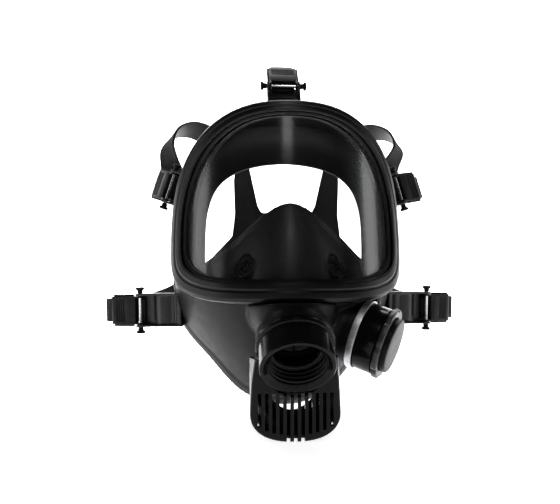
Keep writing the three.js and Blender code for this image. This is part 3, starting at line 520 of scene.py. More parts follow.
def lens_row(scale, height):
    middle = (VIEW_OUTLINE["top"] + VIEW_OUTLINE["bottom"]) / 2
    edge = np.array([band_point(a, LENS_EDGE, 0) for a in ROUND])
    # the band's own height is 0, so x and z here are the cylinder's own coordinates
    return visor_point(edge[:, 0] * scale, middle + (edge[:, 2] - middle) * scale, height)


LENS_SCALES = [0.02, *np.linspace(0.08, 1, 24)]
lens_rows = [lens_row(s, -LENS_HALF) for s in LENS_SCALES]
lens_rows += [lens_row(s, LENS_HALF) for s in LENS_SCALES[::-1]]
finish_piece(loft("lens", lean(np.array(lens_rows))), "visor_lens", "clear_lens")


# ------------------------------------------------------------------ curves
def spline(points, ts, closed, tension=None):
    """Catmull-Rom: centripetal, or uniform with a tension. ts run from 0 to 1."""
    p = np.asarray(points, float)
    count = len(p)
    result = []
    for t in ts:
        at = t * (count if closed else count - 1)
        i = int(math.floor(at))
        w = at - i
        if not closed and i >= count - 1:
            i, w = count - 2, 1.0
        if closed:
            p0, p1, p2, p3 = (p[(i + k) % count] for k in (-1, 0, 1, 2))
        else:
            p1, p2 = p[i], p[i + 1]
            p0 = p[i - 1] if i > 0 else 2 * p[0] - p[1]
            p3 = p[i + 2] if i + 2 < count else 2 * p[-1] - p[-2]
        if tension is None:
            pairs = ((p0, p1), (p1, p2), (p2, p3))
            d0, d1, d2 = (max(np.linalg.norm(b - a), 1e-6) ** 0.5 for a, b in pairs)
            t1 = ((p1 - p0) / d0 - (p2 - p0) / (d0 + d1) + (p2 - p1) / d1) * d1
            t2 = ((p2 - p1) / d1 - (p3 - p1) / (d1 + d2) + (p3 - p2) / d2) * d1
        else:
            t1, t2 = tension * (p2 - p0), tension * (p3 - p1)
        result.append(p1 + t1 * w + (3 * (p2 - p1) - 2 * t1 - t2) * w ** 2
                      + (2 * (p1 - p2) + t1 + t2) * w ** 3)
    return np.array(result)


class FaceCurve:
    """A closed curve round the face, read by its direction from the face's middle."""

    def __init__(self, half):
        other = [(-x, y, z) for x, y, z in half[1:-1][::-1]]
        dense = spline([*half, *other], np.arange(1600) / 1600, True)
        angle = np.arctan2(dense[:, 2], dense[:, 0])
        order = np.argsort(angle)
        self.angle, self.dense = angle[order], dense[order]

    def at(self, angle):
        wrapped = math.atan2(math.sin(angle), math.cos(angle))
        return np.array([np.interp(wrapped, self.angle, self.dense[:, k], period=TAU) for k in range(3)])


REAR_EDGE = FaceCurve([(0, 22, 106), (44, 25, 100), (74, 32, 76), (89, 38, 40), (92, 42, 0), (90, 42, -35),
                       (83, 38, -60), (61, 30, -86), (36, 22, -112), (16, 17, -121), (0, 15, -123)])
SEAL_EDGE = FaceCurve([(0, 22, 73), (36, 23, 67), (54, 25, 55), (63, 27, 36), (66, 28, 0), (64, 28, -35),
                       (56, 25, -58), (42, 20, -78), (24, 14, -94), (10, 12, -99), (0, 11, -100)])
CUP_EDGE = FaceCurve([(0, -30, 35), (10, -29, 32), (24, -24, 22), (42, -12, 6), (58, 2, -10), (60, 6, -34),
                      (50, 8, -60), (32, 6, -82), (14, 3, -92), (0, 2, -94)])


def face_angle(angle):
    x, z = outline_point(FRAME_OUTLINE, np.array(angle))
    return math.atan2(float(z), float(x))


def front_edge(angle, share, height):
    return lean(band_point(np.array(angle), share, height))


# ------------------------------------------------------------------ face blank
def blank_skin(angle, run):
    start = front_edge(angle, 0.97, -4.4)
    end = REAR_EDGE.at(face_angle(angle))
    down = max(0.0, -math.sin(face_angle(angle)))
    outward = unit([start[0] * 0.4, -45 * down, start[2] - 20 * down])
    belly = (start + end) / 2 + outward * (4 + 14 * down ** 1.5)
    return start * (1 - run) ** 2 + belly * 2 * run * (1 - run) + end * run ** 2


def blank_inner(angle, run, wall=BLANK_WALL):
    step = 0.01
    along = blank_skin(angle, min(1, run + step)) - blank_skin(angle, max(0, run - step))
    around = blank_skin(angle + step, run) - blank_skin(angle - step, run)
    normal = unit(np.cross(along, around))
    point = blank_skin(angle, run)
    if normal @ np.array([point[0], -40, point[2] + 20]) > 0:
        normal = -normal
    return point + normal * wall


LIP_FROM, LIP_RISE = 0.9, 2.0  # a rolled bead runs round the rear edge
RUNS = np.array([*np.linspace(0, 0.88, 16), 0.9, 0.915, 0.93, 0.95, 0.975, 1])
INNER_RUNS = RUNS[:2:-1]  # from the rear edge forward, ending short of the frame
SHELL_ROUND = even_angles(200)


def blank_section(angle):
    outer = [blank_skin(angle, r) for r in RUNS]
    for k, r in enumerate(RUNS):
        if r > LIP_FROM:
            away = unit(outer[k] - blank_inner(angle, r))
            outer[k] = outer[k] + away * LIP_RISE * math.sqrt((r - LIP_FROM) / (1 - LIP_FROM))
    inner = [blank_inner(angle, r) for r in INNER_RUNS]
    lip = [front_edge(angle, s, h) for s, h in ((0.62, -7.6), (0.06, -7.2), (0.06, -4))]
    return [*outer, *inner, *lip]


def cavity(margin):
    """Everything inside the blank as one body, a margin in from its wall."""
    opening = [REAR_EDGE.at(face_angle(a)) * np.array([0.9, 1, 0.9]) for a in SHELL_ROUND]
    for p in opening:
        p[1] = 120
    walls = [[blank_inner(a, r, BLANK_WALL + margin) for a in SHELL_ROUND] for r in INNER_RUNS]
    flange = [[front_edge(a, s, h - margin) for a in SHELL_ROUND]
              for s, h in ((0.6, -7.8), (0.04, -7.6), (0.04, 2))]
    ahead = [front_edge(a, 0.04, 2) - np.array([0, 60, 0]) for a in SHELL_ROUND]
    return loft("cavity", np.array([opening, *walls, *flange, ahead]))


def frame_room():
    profile = [(-0.5, 60), (1.01, 60), (1.03, -4.3), (-0.5, -3.9)]
    return band_ring("frame_room", profile, 0, SHELL_ROUND)


def circle(radius, height, drop, steps=72):
    a = np.arange(steps) * TAU / steps
    return np.stack([radius * np.cos(a), np.full(steps, height), drop + radius * np.sin(a)], 1)


passage_rows = [circle(23.3, 5, 0), circle(23.3, -10.4, 0), circle(15.5, -27, 11), circle(15.5, -40, 18)]
SIDE_BOSS_R = 25.4
bosses = combine(rod("port_boss", BOSS_R, -12, -GAP, port),
                 [rod("port_root", BOSS_R, -34, -11.9, port, 34),
                  rod("exhale_boss", 20.5, -34, -8, exhale, 27),
                  rod("side_boss", SIDE_BOSS_R, -10, SIDE_BOSS_TOP, side),
                  rod("side_root", SIDE_BOSS_R, -34, -9.9, side, 33)], "UNION")
combine(bosses, [cavity(0)], "DIFFERENCE")
blank = loft("blank", [blank_section(a) for a in SHELL_ROUND], ring=True)
combine(blank, [bosses], "UNION")


def seal_point(angle, share, rear):
    direction = face_angle(angle)
    point = REAR_EDGE.at(direction) * (1 - share) + SEAL_EDGE.at(direction) * share
    point[1] += rear
    return point


seal_room = loft("seal_room", [[seal_point(a, s, r) for s, r in ((-0.6, 0.1), (1, 0.1), (1, 20), (-0.6, 20))]
                               for a in SHELL_ROUND], ring=True)
combine(blank, [frame_room(), loft("passage", port(np.array(passage_rows))),
                rod("exhale_hole", EXHALE_HOLE_R, -60, 10, exhale), rod("side_hole", 22.8, -28, 10, side),
                tube("band_room", SIDE_BOSS_R, 34, BAND_LOW - 0.4, 40, side, 0), seal_room], "DIFFERENCE")
BLANK_NODES = [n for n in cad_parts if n.startswith("face_blank")]
finish_piece(melt(keep_largest(blank), 1.1, 5), "face_blank", "blank_rubber", smooth_angle=60,
             nodes=BLANK_NODES)

SEAL_PROFILE = [(-0.04, 0.6), (0.1, 0.6), (0.35, 2.5), (0.55, 3.5), (0.8, 2.3), (1, 0), (1.02, 1), (1, 2),
                (0.8, 4.3), (0.55, 5.5), (0.3, 4.9), (0.08, 3.4), (-0.05, 2.8)]
finish_piece(loft("seal", [[seal_point(a, s, r) for s, r in SEAL_PROFILE] for a in ROUND], ring=True),
             "face_seal", "seal_rubber", smooth_angle=60)


# ------------------------------------------------------------------ nose cup
def cup_section(angle, runs):
    rim = CUP_EDGE.at(angle)
    mouth = port(np.array([17.5 * math.cos(angle), -26.5, 11 - 17.5 * math.sin(angle)]))
    away = unit([math.cos(angle), -0.35, math.sin(angle)])
    inward = unit([-math.cos(angle), 0.75, -math.sin(angle)])
    outer = [mouth * (1 - t) + rim * t + away * 6 * math.sin(math.pi * t) for t in runs]
    inner = [p + inward * 2 for p in outer[::-1]]
    flange = rim + np.array([math.cos(angle) * 2.5, 1.5, math.sin(angle) * 2.5])
    return [*outer, flange, rim + np.array([0, 3, 0]), *inner]


cup_places = {}
for side_name, sign in (("left", -1), ("right", 1)):
    axis = unit([sign * 0.62, -0.62, 0.48])
    across = unit(np.cross([0, 0, 1], axis))
    cup_places[side_name] = basis(-across, axis, np.cross(axis, across), np.array([sign * 33, -27, -11]))
cup = loft("cup", [cup_section(face_angle(a), np.linspace(0, 0.96, 16)) for a in SHELL_ROUND], ring=True)
combine(cup, [rod("pad", CUP_SEAT + 3.6, -3.2, 2.8, place) for place in cup_places.values()], "UNION")
combine(cup, [rod("hole", CUP_SEAT + GAP, -20, 20, place) for place in cup_places.values()]
        + [rod("face", CUP_SEAT + 2.2, 0.1, 14, place) for place in cup_places.values()]
        + [rod("exit", EXHALE_HOLE_R, -60, 10, exhale)], "DIFFERENCE")
combine(cup, [cavity(0.6)], "INTERSECT")
finish_piece(melt(keep_largest(cup), 0.8, 3), "nose_cup", "seal_rubber", smooth_angle=60)


SPOKES = 3


def spoked_seat(outer, inner, low, high, hub, place, rim=None):
    """A turned seat ring with crossing spokes and a hub."""
    seat = lathe("seat", rim or [[inner, low], [outer, low], [outer, high], [inner, high]], place, 0.25)
    spokes = []
    for i in range(SPOKES):
        c, s = math.cos(i * math.pi / SPOKES), math.sin(i * math.pi / SPOKES)
        turn = np.array([[c, 0, s], [0, 1, 0], [-s, 0, c]])
        spokes.append(block("bar", -0.9, 0.9, low, low + 1.4, -inner - 0.5, inner + 0.5,
                            lambda p, turn=turn: place(p @ turn)))
    spokes.append(rod("hub", hub, low - 0.01, low + 1.41, place, steps=48))
    return soften(combine(seat, spokes, "UNION"), 0.15)


def rimmed_disc(radius, low, high, place):
    """A valve disc with a thin lip and a raised centre button."""
    thick = high - low
    return lathe("disc", [[0, low], [radius, low], [radius, high], [radius - 1.2, high],
                          [radius - 1.8, low + 0.6 * thick], [3, low + 0.6 * thick], [2.4, high], [0, high]],
                 place, 0.12)


for side_name, place in cup_places.items():
    bore, lip = CUP_SEAT - 1.6, CUP_SEAT + 1.6
    rim = [[bore, -3.4], [CUP_SEAT, -3.4], [CUP_SEAT, 0.4], [lip, 0.4], [lip, 1.4], [bore, 1.4]]
    finish_piece(spoked_seat(CUP_SEAT, bore, -3.4, 0.5, 1.8, place, rim=rim),
                 "nose_cup_valve_seat_" + side_name, "satin_plastic")
    finish_piece(rimmed_disc(CUP_SEAT - 0.7, -4.7, -3.8, place), "nose_cup_valve_disc_" + side_name,
                 "valve_rubber", "nose_cup_disc_" + side_name)

# ------------------------------------------------------------------ front connector
BODY_STEPS = 200


def connector():
    """The connector as one turned body with a real right-handed thread in its bore."""
    outside = fillet([[20.5, -9.8], [23, -9.8], [23, 0], [28, 0], [28, 2.6], [27.2, 3.6], [26, 4],
                      [26, 22.2], [25.4, 23], [23.4, 23], [20.6, 20.4]], 0.35, 5)
    low, high = 8.6, 20.1
    depth = THREAD_MAJOR - THREAD_MINOR
    heights = np.linspace(high, low, 84)
    foot = [[THREAD_MAJOR, 5.8], [16.5, 5.8], [16.5, 3.4], [20.5, 0]]
    rows = []
    for a in np.arange(BODY_STEPS) * TAU / BODY_STEPS:
        phase = (heights / THREAD_PITCH + a / TAU) * TAU
        ends = np.clip(np.minimum(heights - low, high - heights) / 1.4, 0, 1)
        tooth = 0.5 + 0.5 * np.tanh(2.2 * np.cos(phase))
        bore = np.stack([THREAD_MAJOR - depth * tooth * ends, heights], 1)
        ring = np.vstack([outside, bore, foot])
        rows.append(np.stack([ring[:, 0] * math.cos(a), ring[:, 1], ring[:, 0] * math.sin(a)], 1))
    return loft("connector", port(np.array(rows)), ring=True)


finish_piece(connector(), "connector_body", "gloss_plastic")
finish_piece(tube("ring", 26, 27.4, -7.5, -1.2, port), "connector_clamp_ring", "satin_plastic")
finish_piece(tube("ring", 16.6, 19.9, 6.1, 7.8, port, 0.5), "connector_gasket", "valve_rubber")
finish_piece(spoked_seat(20.2, INHALE_OPENING, -8, -5.2, 3.4, port), "inhalation_valve_seat",
             "satin_plastic")
finish_piece(rimmed_disc(INHALE_OPENING + 1.2, -9.4, -8.4, port), "inhalation_valve_disc",
             "valve_rubber", "inhalation_disc")
exhale_rim = [[15.3, -22], [EXHALE_SEAT_R, -22], [EXHALE_SEAT_R, -7.7], [19.1, -7.7], [19.1, -5.6],
              [15.3, -5.6]]
finish_piece(spoked_seat(EXHALE_SEAT_R, 15.0, -9.5, -8.1, 3.2, exhale, rim=exhale_rim),
             "exhalation_valve_seat", "satin_plastic")
finish_piece(rimmed_disc(18.1, -5.3, -4.2, exhale), "exhalation_valve_disc", "valve_rubber",
             "exhalation_disc")


def sweep(name, centres, radius, place, sides=12):
    """A round wire along a row of points."""
    c = place(np.asarray(centres, float))
    ahead = np.gradient(c, axis=0)
    rows = []
    up = unit(np.cross(ahead[0], [0.3, 0.2, 0.9]))
    for at, tangent in zip(c, ahead):
        tangent = unit(tangent)
        up = unit(up - tangent * (up @ tangent))
        other = np.cross(tangent, up)
        rows.append([at + radius * (up * math.cos(a) + other * math.sin(a))
                     for a in np.arange(sides) * TAU / sides])
    return loft(name, rows)


COIL_R, COIL_LOW, COIL_RISE, COIL_WIRE = 6.0, -3.4, 5.9, 0.45
COIL_TURNS = 3
coil = [(COIL_R * math.cos(a), COIL_LOW + COIL_RISE * t, COIL_R * math.sin(a))
        for t in np.linspace(0, 1, 150) for a in (TAU * COIL_TURNS * t,)]
spring = finish_piece(sweep("coil", coil, COIL_WIRE, exhale), "exhalation_valve_spring", "bright_steel")
# the top end of the coil, in metres; the spring then gets a mesh of its own
coil_end = exhale(np.array([0, COIL_LOW + COIL_RISE + COIL_WIRE, 0])) * MM
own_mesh(spring)
BRIDGE_HALF, FOOT_FROM = 22, 20.5
bridge_feet = [block("foot", *sorted((s * FOOT_FROM, s * BRIDGE_HALF)), -7.65, 3.4, -2.19, 2.19, exhale)
               for s in (-1, 1)]
bridge = combine(rod("bridge", 8, 3.3, 4.9, exhale),
                 [block("bar", -BRIDGE_HALF, BRIDGE_HALF, 3.31, 4.89, -2.2, 2.2, exhale), *bridge_feet],
                 "UNION")
finish_piece(soften(bridge, 0.3), "exhalation_spring_bridge", "satin_plastic")

# ------------------------------------------------------------------ exhalation cowl
COWL_WALL, COWL_FRONT, COWL_HALF, COWL_TOP = 2.2, -70.5, 31.6, -68.0
COWL_SPRING, COWL_BOTTOM = -111.0, -131.0  # where its round floor starts, and its lowest point
COWL_LIFT, COWL_SPRING_LIFT = 12.5, 45.0  # how much higher both are at its rear edge
COWL_ROUND = 2.6


def cowl_back(z):
    return -56 + (z - COWL_TOP) / (COWL_BOTTOM - COWL_TOP) * 26


def cowl_row(inset, rear, share, steps=56):
    half, lift = COWL_HALF - inset, COWL_LIFT * share
    bottom, spring = COWL_BOTTOM + inset + lift, COWL_SPRING + COWL_SPRING_LIFT * share
    a = np.linspace(0, math.pi, steps + 1)
    x = half * np.sign(np.cos(a)) * np.abs(np.cos(a)) ** (0.8 + 0.2 * share)
    z = spring + (bottom - spring) * np.abs(np.sin(a)) ** (0.9 + 0.5 * share)
    shoulder = max(-90.0, spring + 4)
    for part in ([(-0.97, shoulder), (-0.88, COWL_TOP)], [(0.88, COWL_TOP), (0.97, shoulder)]):
        x = np.append(x, [half * p[0] for p in part])
        z = np.append(z, [p[1] for p in part])
    return np.stack([x, rear(z), z], 1)


def ahead_by(distance):
    return lambda z: np.full_like(z, COWL_FRONT + distance)


cowl_rows = [cowl_row(COWL_ROUND * (1 - math.sin(a)), ahead_by(COWL_ROUND * (1 - math.cos(a))), 0)
             for a in np.linspace(0, math.pi / 2, 7)]
cowl = loft("cowl", [*cowl_rows, cowl_row(0, cowl_back, 1)])
hollow = loft("hollow", [cowl_row(COWL_WALL + 0.8, ahead_by(COWL_WALL), 0),
                         cowl_row(COWL_WALL, ahead_by(COWL_WALL + 1.4), 0.02),
                         cowl_row(COWL_WALL, cowl_back, 1),
                         cowl_row(COWL_WALL, lambda z: cowl_back(z) + 12, 1.25)])
SLOT_PITCH, SLOT_HALF, SLOT_TOP = 5, 1.25, -97
slots = []
for i in range(-5, 6):
    reach = math.sqrt(1 - (i * SLOT_PITCH / COWL_HALF) ** 2)
    low = COWL_SPRING - 15 * reach - (8 if abs(i) <= 1 else 0)  # the middle three run out below
    slots.append(block("slot", i * SLOT_PITCH - SLOT_HALF, i * SLOT_PITCH + SLOT_HALF,
                       COWL_FRONT - 5, COWL_FRONT + 6, low, SLOT_TOP))
combine(cowl, [hollow, *slots, rod("room", 26.4, -1, 60, port), rod("room", 28.4, -20, 4.4, port),
               rod("room", 40, -34, -8, port, 38), block("trim", -40, 40, -90, -20, -74, -60)], "DIFFERENCE")
finish_piece(soften(keep_largest(cowl), 0.3), "exhalation_cowl", "gloss_plastic")

# ------------------------------------------------------------------ side speech port
finish_piece(lathe("housing", [[20.5, -9], [22.5, -9], [22.5, 3.4], [25.5, 3.4], [25.5, 17], [24.2, 18],
                               [22.2, 18], [22.2, 20.6], [21.6, 21], [20.5, 21], [20.5, 11], [18, 11],
                               [18, 9], [20.5, 9]], side), "side_port_housing", "gloss_plastic")
finish_piece(tube("ring", 18.4, 20.2, 11.3, 12.6, side), "diaphragm_gasket", "valve_rubber")
finish_piece(lathe("dome", [[0, 12.9], [20.2, 12.9], [20.2, 13.6], [16, 13.6], [15, 14.2], [13, 14.2],
                            [12, 13.6], [0, 13.6]], side, 0.2), "speech_diaphragm", "band_steel")
finish_piece(tube("ring", 17.6, 20.2, 13.9, 16.4, side), "diaphragm_lock_ring", "satin_plastic")

CLAMP_AT = math.pi * 0.75  # where the screw sits round the band
SCREW_OUT = 29.4


def clamp_turn(points):
    c, s = math.cos(CLAMP_AT), math.sin(CLAMP_AT)
    p = np.asarray(points, float)
    return side(np.stack([c * p[..., 0] + s * p[..., 2], p[..., 1], -s * p[..., 0] + c * p[..., 2]], -1))


def clamp_axis(points):
    p = np.asarray(points, float)
    return clamp_turn(np.stack([p[..., 0] + SCREW_OUT, 0.3 - p[..., 2], p[..., 1]], -1))


band = tube("band", 25.7, 27, BAND_LOW, BAND_HIGH, clamp_turn, 0.3)
combine(band, [block("lug", 26, 31.5, BAND_LOW, BAND_HIGH, s * 3.4 - 1.1, s * 3.4 + 1.1, clamp_turn)
               for s in (-1, 1)], "UNION")
combine(band, [block("split", 20, 40, -10, 10, -2.2, 2.2, clamp_turn),
               rod("hole", 1.75, -12, 12, clamp_axis)], "DIFFERENCE")
finish_piece(soften(band, 0.15), "clamp_band", "band_steel")
screw = rod("screw", 1.5, -6.6, 7.2, clamp_axis, edge=0.2, steps=48)
combine(screw, [rod("head", 2.7, 4.9, 7.4, clamp_axis, edge=0.4, steps=48)], "UNION")
combine(screw, [block("drive", -3, 3, 6.4, 9, -0.4, 0.4, clamp_axis)], "DIFFERENCE")
finish_piece(screw, "clamp_screw", "bright_steel", "clamp_screw")


BEZEL_R, GRIP_DEPTH, GRIPS = 27, 1.5, 8


def bezel_row(height, grow, steps=320):
    a = np.arange(steps) * TAU / steps
    r = BEZEL_R - GRIP_DEPTH * np.maximum(0, np.cos(GRIPS * a)) ** 4 + grow
    return np.stack([r * np.cos(a), np.full(steps, height), r * np.sin(a)], 1)


bezel_rows = [(18.4, -0.8), (18.5, -0.4), (18.8, -0.1), (19.1, 0), (21.8, 0), (22.3, -0.15), (22.6, -0.4),
              (22.8, -0.8)]
bezel = loft("bezel", side(np.array([bezel_row(h, g) for h, g in bezel_rows])))
combine(bezel, [rod("cut", 22.5, 10, 21.4, side), rod("cut", 21.2, 10, 40, side)], "DIFFERENCE")
finish_piece(soften(bezel, 0.2), "bezel_ring", "bezel_plastic", "side_cap_unit")
cap = lathe("cap", [[0, 21.6], [18.3, 21.6], [18.3, 17], [19.6, 17], [19.6, 21.6], [20.8, 21.6],
                    [20.8, CAP_TOP - 0.8], [20, CAP_TOP], [0, CAP_TOP]], side)
cap_mesh = finish_piece(cap, "side_cap", "cap_plastic", "side_cap_unit").data
# the cap's wall is black round its grey face
cap_mesh.materials.append(materials["satin_plastic"])
face_height = SIDE_ORIGIN @ side_axis + CAP_TOP - 0.5
for polygon in cap_mesh.polygons:
    polygon.material_index = int(np.array(polygon.center) @ side_axis / MM < face_height)

# ------------------------------------------------------------------ buckles
BUCKLES = [
    ("top", (0, 35, 140.5), (0, 0.66, 0.75), (0, -0.75, 0.66), 36),
    ("temple_left", (-94, 30, 53.8), (-0.55, 0.81, 0.2), (-0.78, -0.58, 0.25), 17),
    ("temple_right", (98, 31, 53.8), (0.8, 0.58, 0.15), (0.55, -0.8, 0.25), 20),
    ("lower_left", (-120, 41, -49), (-0.93, 0.37, -0.03), (-0.37, -0.93, 0), 36),
    ("lower_right", (127, 46, -49), (0.9, 0.43, -0.03), (0.43, -0.9, 0), 40),
]


def arc(cx, cz, radius, start, end, steps=10):
    return [(cx + radius * math.cos(a), cz + radius * math.sin(a)) for a in np.linspace(start, end, steps)]


def blank_outside():
    """The blank's outer form as one closed body, which also takes in its cavity."""
    rows = [[blank_skin(a, r) for a in SHELL_ROUND] for r in RUNS]
    back = [p + np.array([0, 40.0, 0]) for p in rows[-1]]
    front = [front_edge(a, 0.5, -4.4) for a in SHELL_ROUND]
    return loft("outside", np.array([front, *rows, back]))


LONG_LUG = 30
PADS = [(-26, -10, 3.4), (-34, -28, 2.2)]  # raised bands across a long lug: start, end, height


def on_pin(place):
    """A buckle's own frame, moved up to its pin."""
    return lambda p: place(np.asarray(p) + np.array([0, 0, PIN_HEIGHT]))


def pin_hole(place):
    return rod("hole", PIN_HOLE_R, -30, 30, on_pin(place), steps=40)


def buckle_base(lug, place):
    cheek = [(-lug, 0), (4.4, 0), *arc(0, PIN_HEIGHT, 4.2, 0, math.pi * 0.75), (-10, 4.6), (-lug, 3.2)]
    body = block("base", -lug, 3.6, -14, 14, -2.6, 0.05, place)
    walls = [slab("cheek", [cheek], 1.8, 0.3, lambda p, y=y: place(np.asarray(p) + np.array([0, y, 0])))
             for y in (-13.1, 13.1)]
    pads = []
    if lug > LONG_LUG:
        for start, end, rise in PADS:
            ts = np.linspace(0, 1, 14)
            bulge = [(start + (end - start) * t, rise * math.sin(math.pi * t)) for t in ts]
            pads.append(slab("pad", [[(start, -1), *bulge, (end, -1)]], 24, 0.2, place))
    combine(body, [*walls, *pads, block("ramp", -lug, -lug + 3, -13.9, 13.9, -2.5, 3, place)], "UNION")
    combine(body, [pin_hole(place), blank_outside(), frame_room()], "DIFFERENCE")
    return melt(keep_largest(body), 0.45, 2)


WING_FROM, WING_HALF = 11.7, 13.4


def buckle_lever(place):
    side_view = [(7, 3.4), (24, 3.1), (27, 3.6), (27, 5.2), (25, 6.2), (9, 7.6),
                 *arc(0, PIN_HEIGHT, 3.4, math.pi * 0.35, math.pi * 2 - math.pi * 0.3, 22)]
    lever = slab("lever", [side_view], 23.8, 0.4, place)
    combine(lever, [block("wing", 6.4, 24.5, *sorted((s * WING_FROM, s * WING_HALF)), 3.6, 6, place)
                    for s in (-1, 1)], "UNION")
    grooves = [block("groove", x, x + 0.9, -9.5, 9.5, 6.35 - (x - 9) * 0.0875 + 0.75, 9, place)
               for x in (14.0, 16.2, 18.4, 20.6)]
    combine(lever, [block("gap", -6, 3.4, -10.4, 10.4, -5, 20, place), pin_hole(place), *grooves],
            "DIFFERENCE")
    return soften(keep_largest(lever), 0.22)


HEAD_R = 3.7
HEAD_FROM = 14.3  # beyond this the pin is a black mushroom head


def buckle_pin(place):
    half = [[1.5, 14.2], [2.3, 14.5], [2.3, 16.7], [HEAD_R, 17.5], [HEAD_R, 18.9], [2.8, 19.4], [0, 19.4]]
    return lathe("pin", [*[[r, -y] for r, y in half[::-1]], *half], on_pin(place), 0.3, 48)


places = {}
for name, pin, out, face, lug in BUCKLES:
    out = unit(out)
    face = unit(np.array(face) - out * (np.array(face) @ out))
    places[name] = basis(out, np.cross(face, out), face, np.array(pin) - face * PIN_HEIGHT)
    finish_piece(buckle_base(lug, places[name]), "buckle_base_" + name, "lug_rubber", smooth_angle=50)
    pin_mesh = finish_piece(buckle_pin(places[name]), "buckle_pin_" + name, "bright_steel").data
    pin_mesh.materials.append(materials["satin_plastic"])
    middle = places[name](np.array([0, 0, 0]))
    along = places[name](np.array([0, 1, 0])) - middle
    for polygon in pin_mesh.polygons:
        polygon.material_index = int(abs((np.array(polygon.center) / MM - middle) @ along) > HEAD_FROM)
    finish_piece(buckle_lever(places[name]), "buckle_lever_" + name, "satin_plastic", "lever_" + name)

# ------------------------------------------------------------------ straps
SERRATION = 1.6  # pitch of the ribs across a strap
RIB_DEPTH = 0.32  # as a share of half the strap's thickness
RIB_FADE = 6  # the ribs die out over this length
STRAP_STEP = 0.32  # between a strap's cross sections
MOULDED_IN = 5.0  # how far a strap runs on into the harness plate


def strap(name, stops, plain_end):
    """A strap along its stops, ribbed across on its outer face except near its far end."""
    at, width = (np.array([s[k] for s in stops]) for k in (0, 1))
    at = np.vstack([at, at[-1] + unit(at[-1] - at[-2]) * MOULDED_IN])
    width = np.vstack([width, width[-1]])
    ts = np.linspace(0, 1, 1500)
    route, wide = spline(at, ts, False), spline(width, ts, False, 0.3)
    run = np.concatenate([[0], np.cumsum(np.linalg.norm(np.diff(route, axis=0), axis=1))])
    even = np.arange(0, run[-1], STRAP_STEP)
    route = np.stack([np.interp(even, run, route[:, k]) for k in range(3)], 1)
    wide = np.stack([np.interp(even, run, wide[:, k]) for k in range(3)], 1)
    ahead = np.gradient(route, axis=0)
    half = STRAP_THICK / 2
    # a height of 0 stands for the ribbed face
    section = [(-1, -0.5), (-0.96, -0.86), (-0.9, -1), (0.9, -1), (0.96, -0.86), (1, -0.5), (1, 0.5),
               (0.96, 0.86), (0.88, 1), (0.82, 1), (0.76, 0), (0.4, 0), (0, 0), (-0.4, 0), (-0.76, 0),
               (-0.82, 1), (-0.88, 1), (-0.96, 0.86), (-1, 0.5)]
    rows = []
    for distance, point, across, tangent in zip(even, route, wide, ahead):
        tangent = unit(tangent)
        across = unit(across - tangent * (across @ tangent))
        normal = np.cross(tangent, across)
        fade = min(1.0, max(0.0, (run[-1] - plain_end - distance) / RIB_FADE))
        rib = 1 - RIB_DEPTH * fade * (0.5 - 0.5 * math.cos(TAU * distance / SERRATION))
        rows.append([point + across * a * STRAP_HALF + normal * half * (b if b else rib)
                     for a, b in section])
    return loft(name, rows)


def buckle_stops(place, behind):
    low, back = STRAP_THICK / 2 + GAP, -8.4
    middle, bend = (low + back) / 2, (low - back) / 2
    turn = STRAP_REACH - bend
    local = [(-3, low), (6, low), (20, low), (turn, low)]
    local += [(turn + bend * math.cos(a), middle + bend * math.sin(a))
              for a in (math.pi / 4, 0, -math.pi / 4)]
    local += [(turn, back), *[(x, back) for x in behind]]
    width = place([0, 1, 0]) - place([0, 0, 0])
    return [(place([x, 0, z]), width) for x, z in local]


def stop_on(flip, shift, at, width):
    x, y, z = at
    a, b, c = width
    return np.array([flip * x + shift, y, z]), unit([a, flip * b, flip * c])


top_route = [((1, 68, 144), (1, 0, 0)), ((4, 92, 132), (1, 0, 0)), ((8, 106, 118), (1, 0, 0)),
             ((9, 110, 106.4), (1, 0, 0))]
finish_piece(strap("strap", buckle_stops(places["top"], [16, 4])
                   + [stop_on(1, 0, *s) for s in top_route], 30), "strap_top", "strap_rubber")
for name, flip, sway in (("left", -1, 0), ("right", 1, 7)):
    temple = [(sway, (97 - 0.8 * sway, 61, 75), (-0.85, -0.5, 0.15)),
              (sway, (99, 62, 93), (-0.6, -0.75, 0.25)),
              (sway, (92, 70, 106), (-0.35, -0.8, 0.4)), (sway, (78, 83, 111), (-0.45, -0.6, 0.6)),
              (5, (60, 98, 103), (-0.6, -0.3, 0.75)), (9, (44.4, 110, 93.4), (-0.62, 0, 0.78))]
    lower = [(0, (112, 66, -46), (0, 0, 1)), (2, (98, 88, -40), (0.2, 0, 1)),
             (6, (82, 103, -28), (0.5, 0, 0.85)), (9, (66.8, 110, -14.3), (0.66, 0, 0.75))]
    for kind, route, behind in (("temple", temple, [14, 5]), ("lower", lower, [16, 2])):
        stops = buckle_stops(places[kind + "_" + name], behind)
        stops += [stop_on(flip, shift, at, width) for shift, at, width in route]
        finish_piece(strap("strap", stops, 35), "strap_" + kind + "_" + name, "strap_rubber")

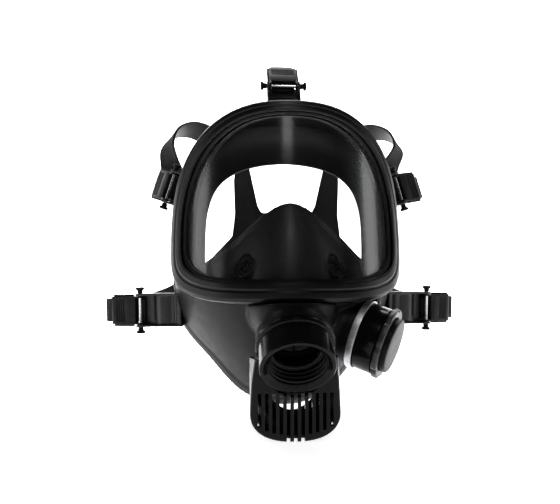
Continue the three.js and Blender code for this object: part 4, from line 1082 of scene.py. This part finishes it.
# ------------------------------------------------------------------ harness plate
plate_right = [(10, 49), (11, 42), (32, 43), (36.8, 43.7), (48.8, 28.1), (50.5, 12), (49.5, -20), (52, -41),
               (71.6, -61.8), (58.6, -76.8), (38, -56), (24, -44), (0, -40)]
plate_outline = [*plate_right, *[(-x, z) for x, z in plate_right[:-1][::-1]]]
plate_hole = [(30, 31), (-30, 31), (-36, 26), (-27.5, -12), (-24, -18.5), (24, -18.5), (27.5, -12), (36, 26)]


def rounded_outline(corners, radius):
    moved_by = np.array([200.0, 0.0])  # keeps every corner off the axis, where fillet() leaves it sharp
    return fillet(np.array(corners, float) + moved_by, radius, 6) - moved_by


plate = slab("plate", [rounded_outline(plate_outline, 3), rounded_outline(plate_hole, 4)], PLATE_THICK, 0.6,
             basis([1, 0, 0], [0, 1, 0], [0, 0, 1], PLATE_CENTRE))
finish_piece(plate, "harness_plate", "strap_rubber")

# ------------------------------------------------------------------ floor and end
FLOOR_Z = -131.6
floor = loft("floor", [[(-3000, y, z), (3000, y, z), (3000, y + 1, z - 1), (-3000, y + 1, z - 1)]
                       for y, z in ((-2500, FLOOR_Z), (1500, FLOOR_Z), (1900, FLOOR_Z + 60),
                                    (2200, FLOOR_Z + 260), (2350, FLOOR_Z + 600), (2400, 3000))])
floor.data.materials.append(floor_graph.material)
# a far pale wall all round, seen past the floor in the other views and kept out of the reflections
WALL_R, WALL_OUTER_R, WALL_TOP, WALL_STEPS = 2900.0, 2960.0, 4200.0, 96
around = np.arange(WALL_STEPS) * TAU / WALL_STEPS
wall_rows = [np.stack([r * np.cos(around), r * np.sin(around), np.full(WALL_STEPS, z)], 1)
             for r, z in ((WALL_R, FLOOR_Z - 300), (WALL_R, WALL_TOP), (WALL_OUTER_R, WALL_TOP),
                          (WALL_OUTER_R, FLOOR_Z - 300))]
surround = loft("surround", np.array(wall_rows).transpose(1, 0, 2), ring=True)
surround.data.materials.append(wall_graph.material)
surround.visible_glossy = False
surround.visible_diffuse = False
surround.visible_shadow = False
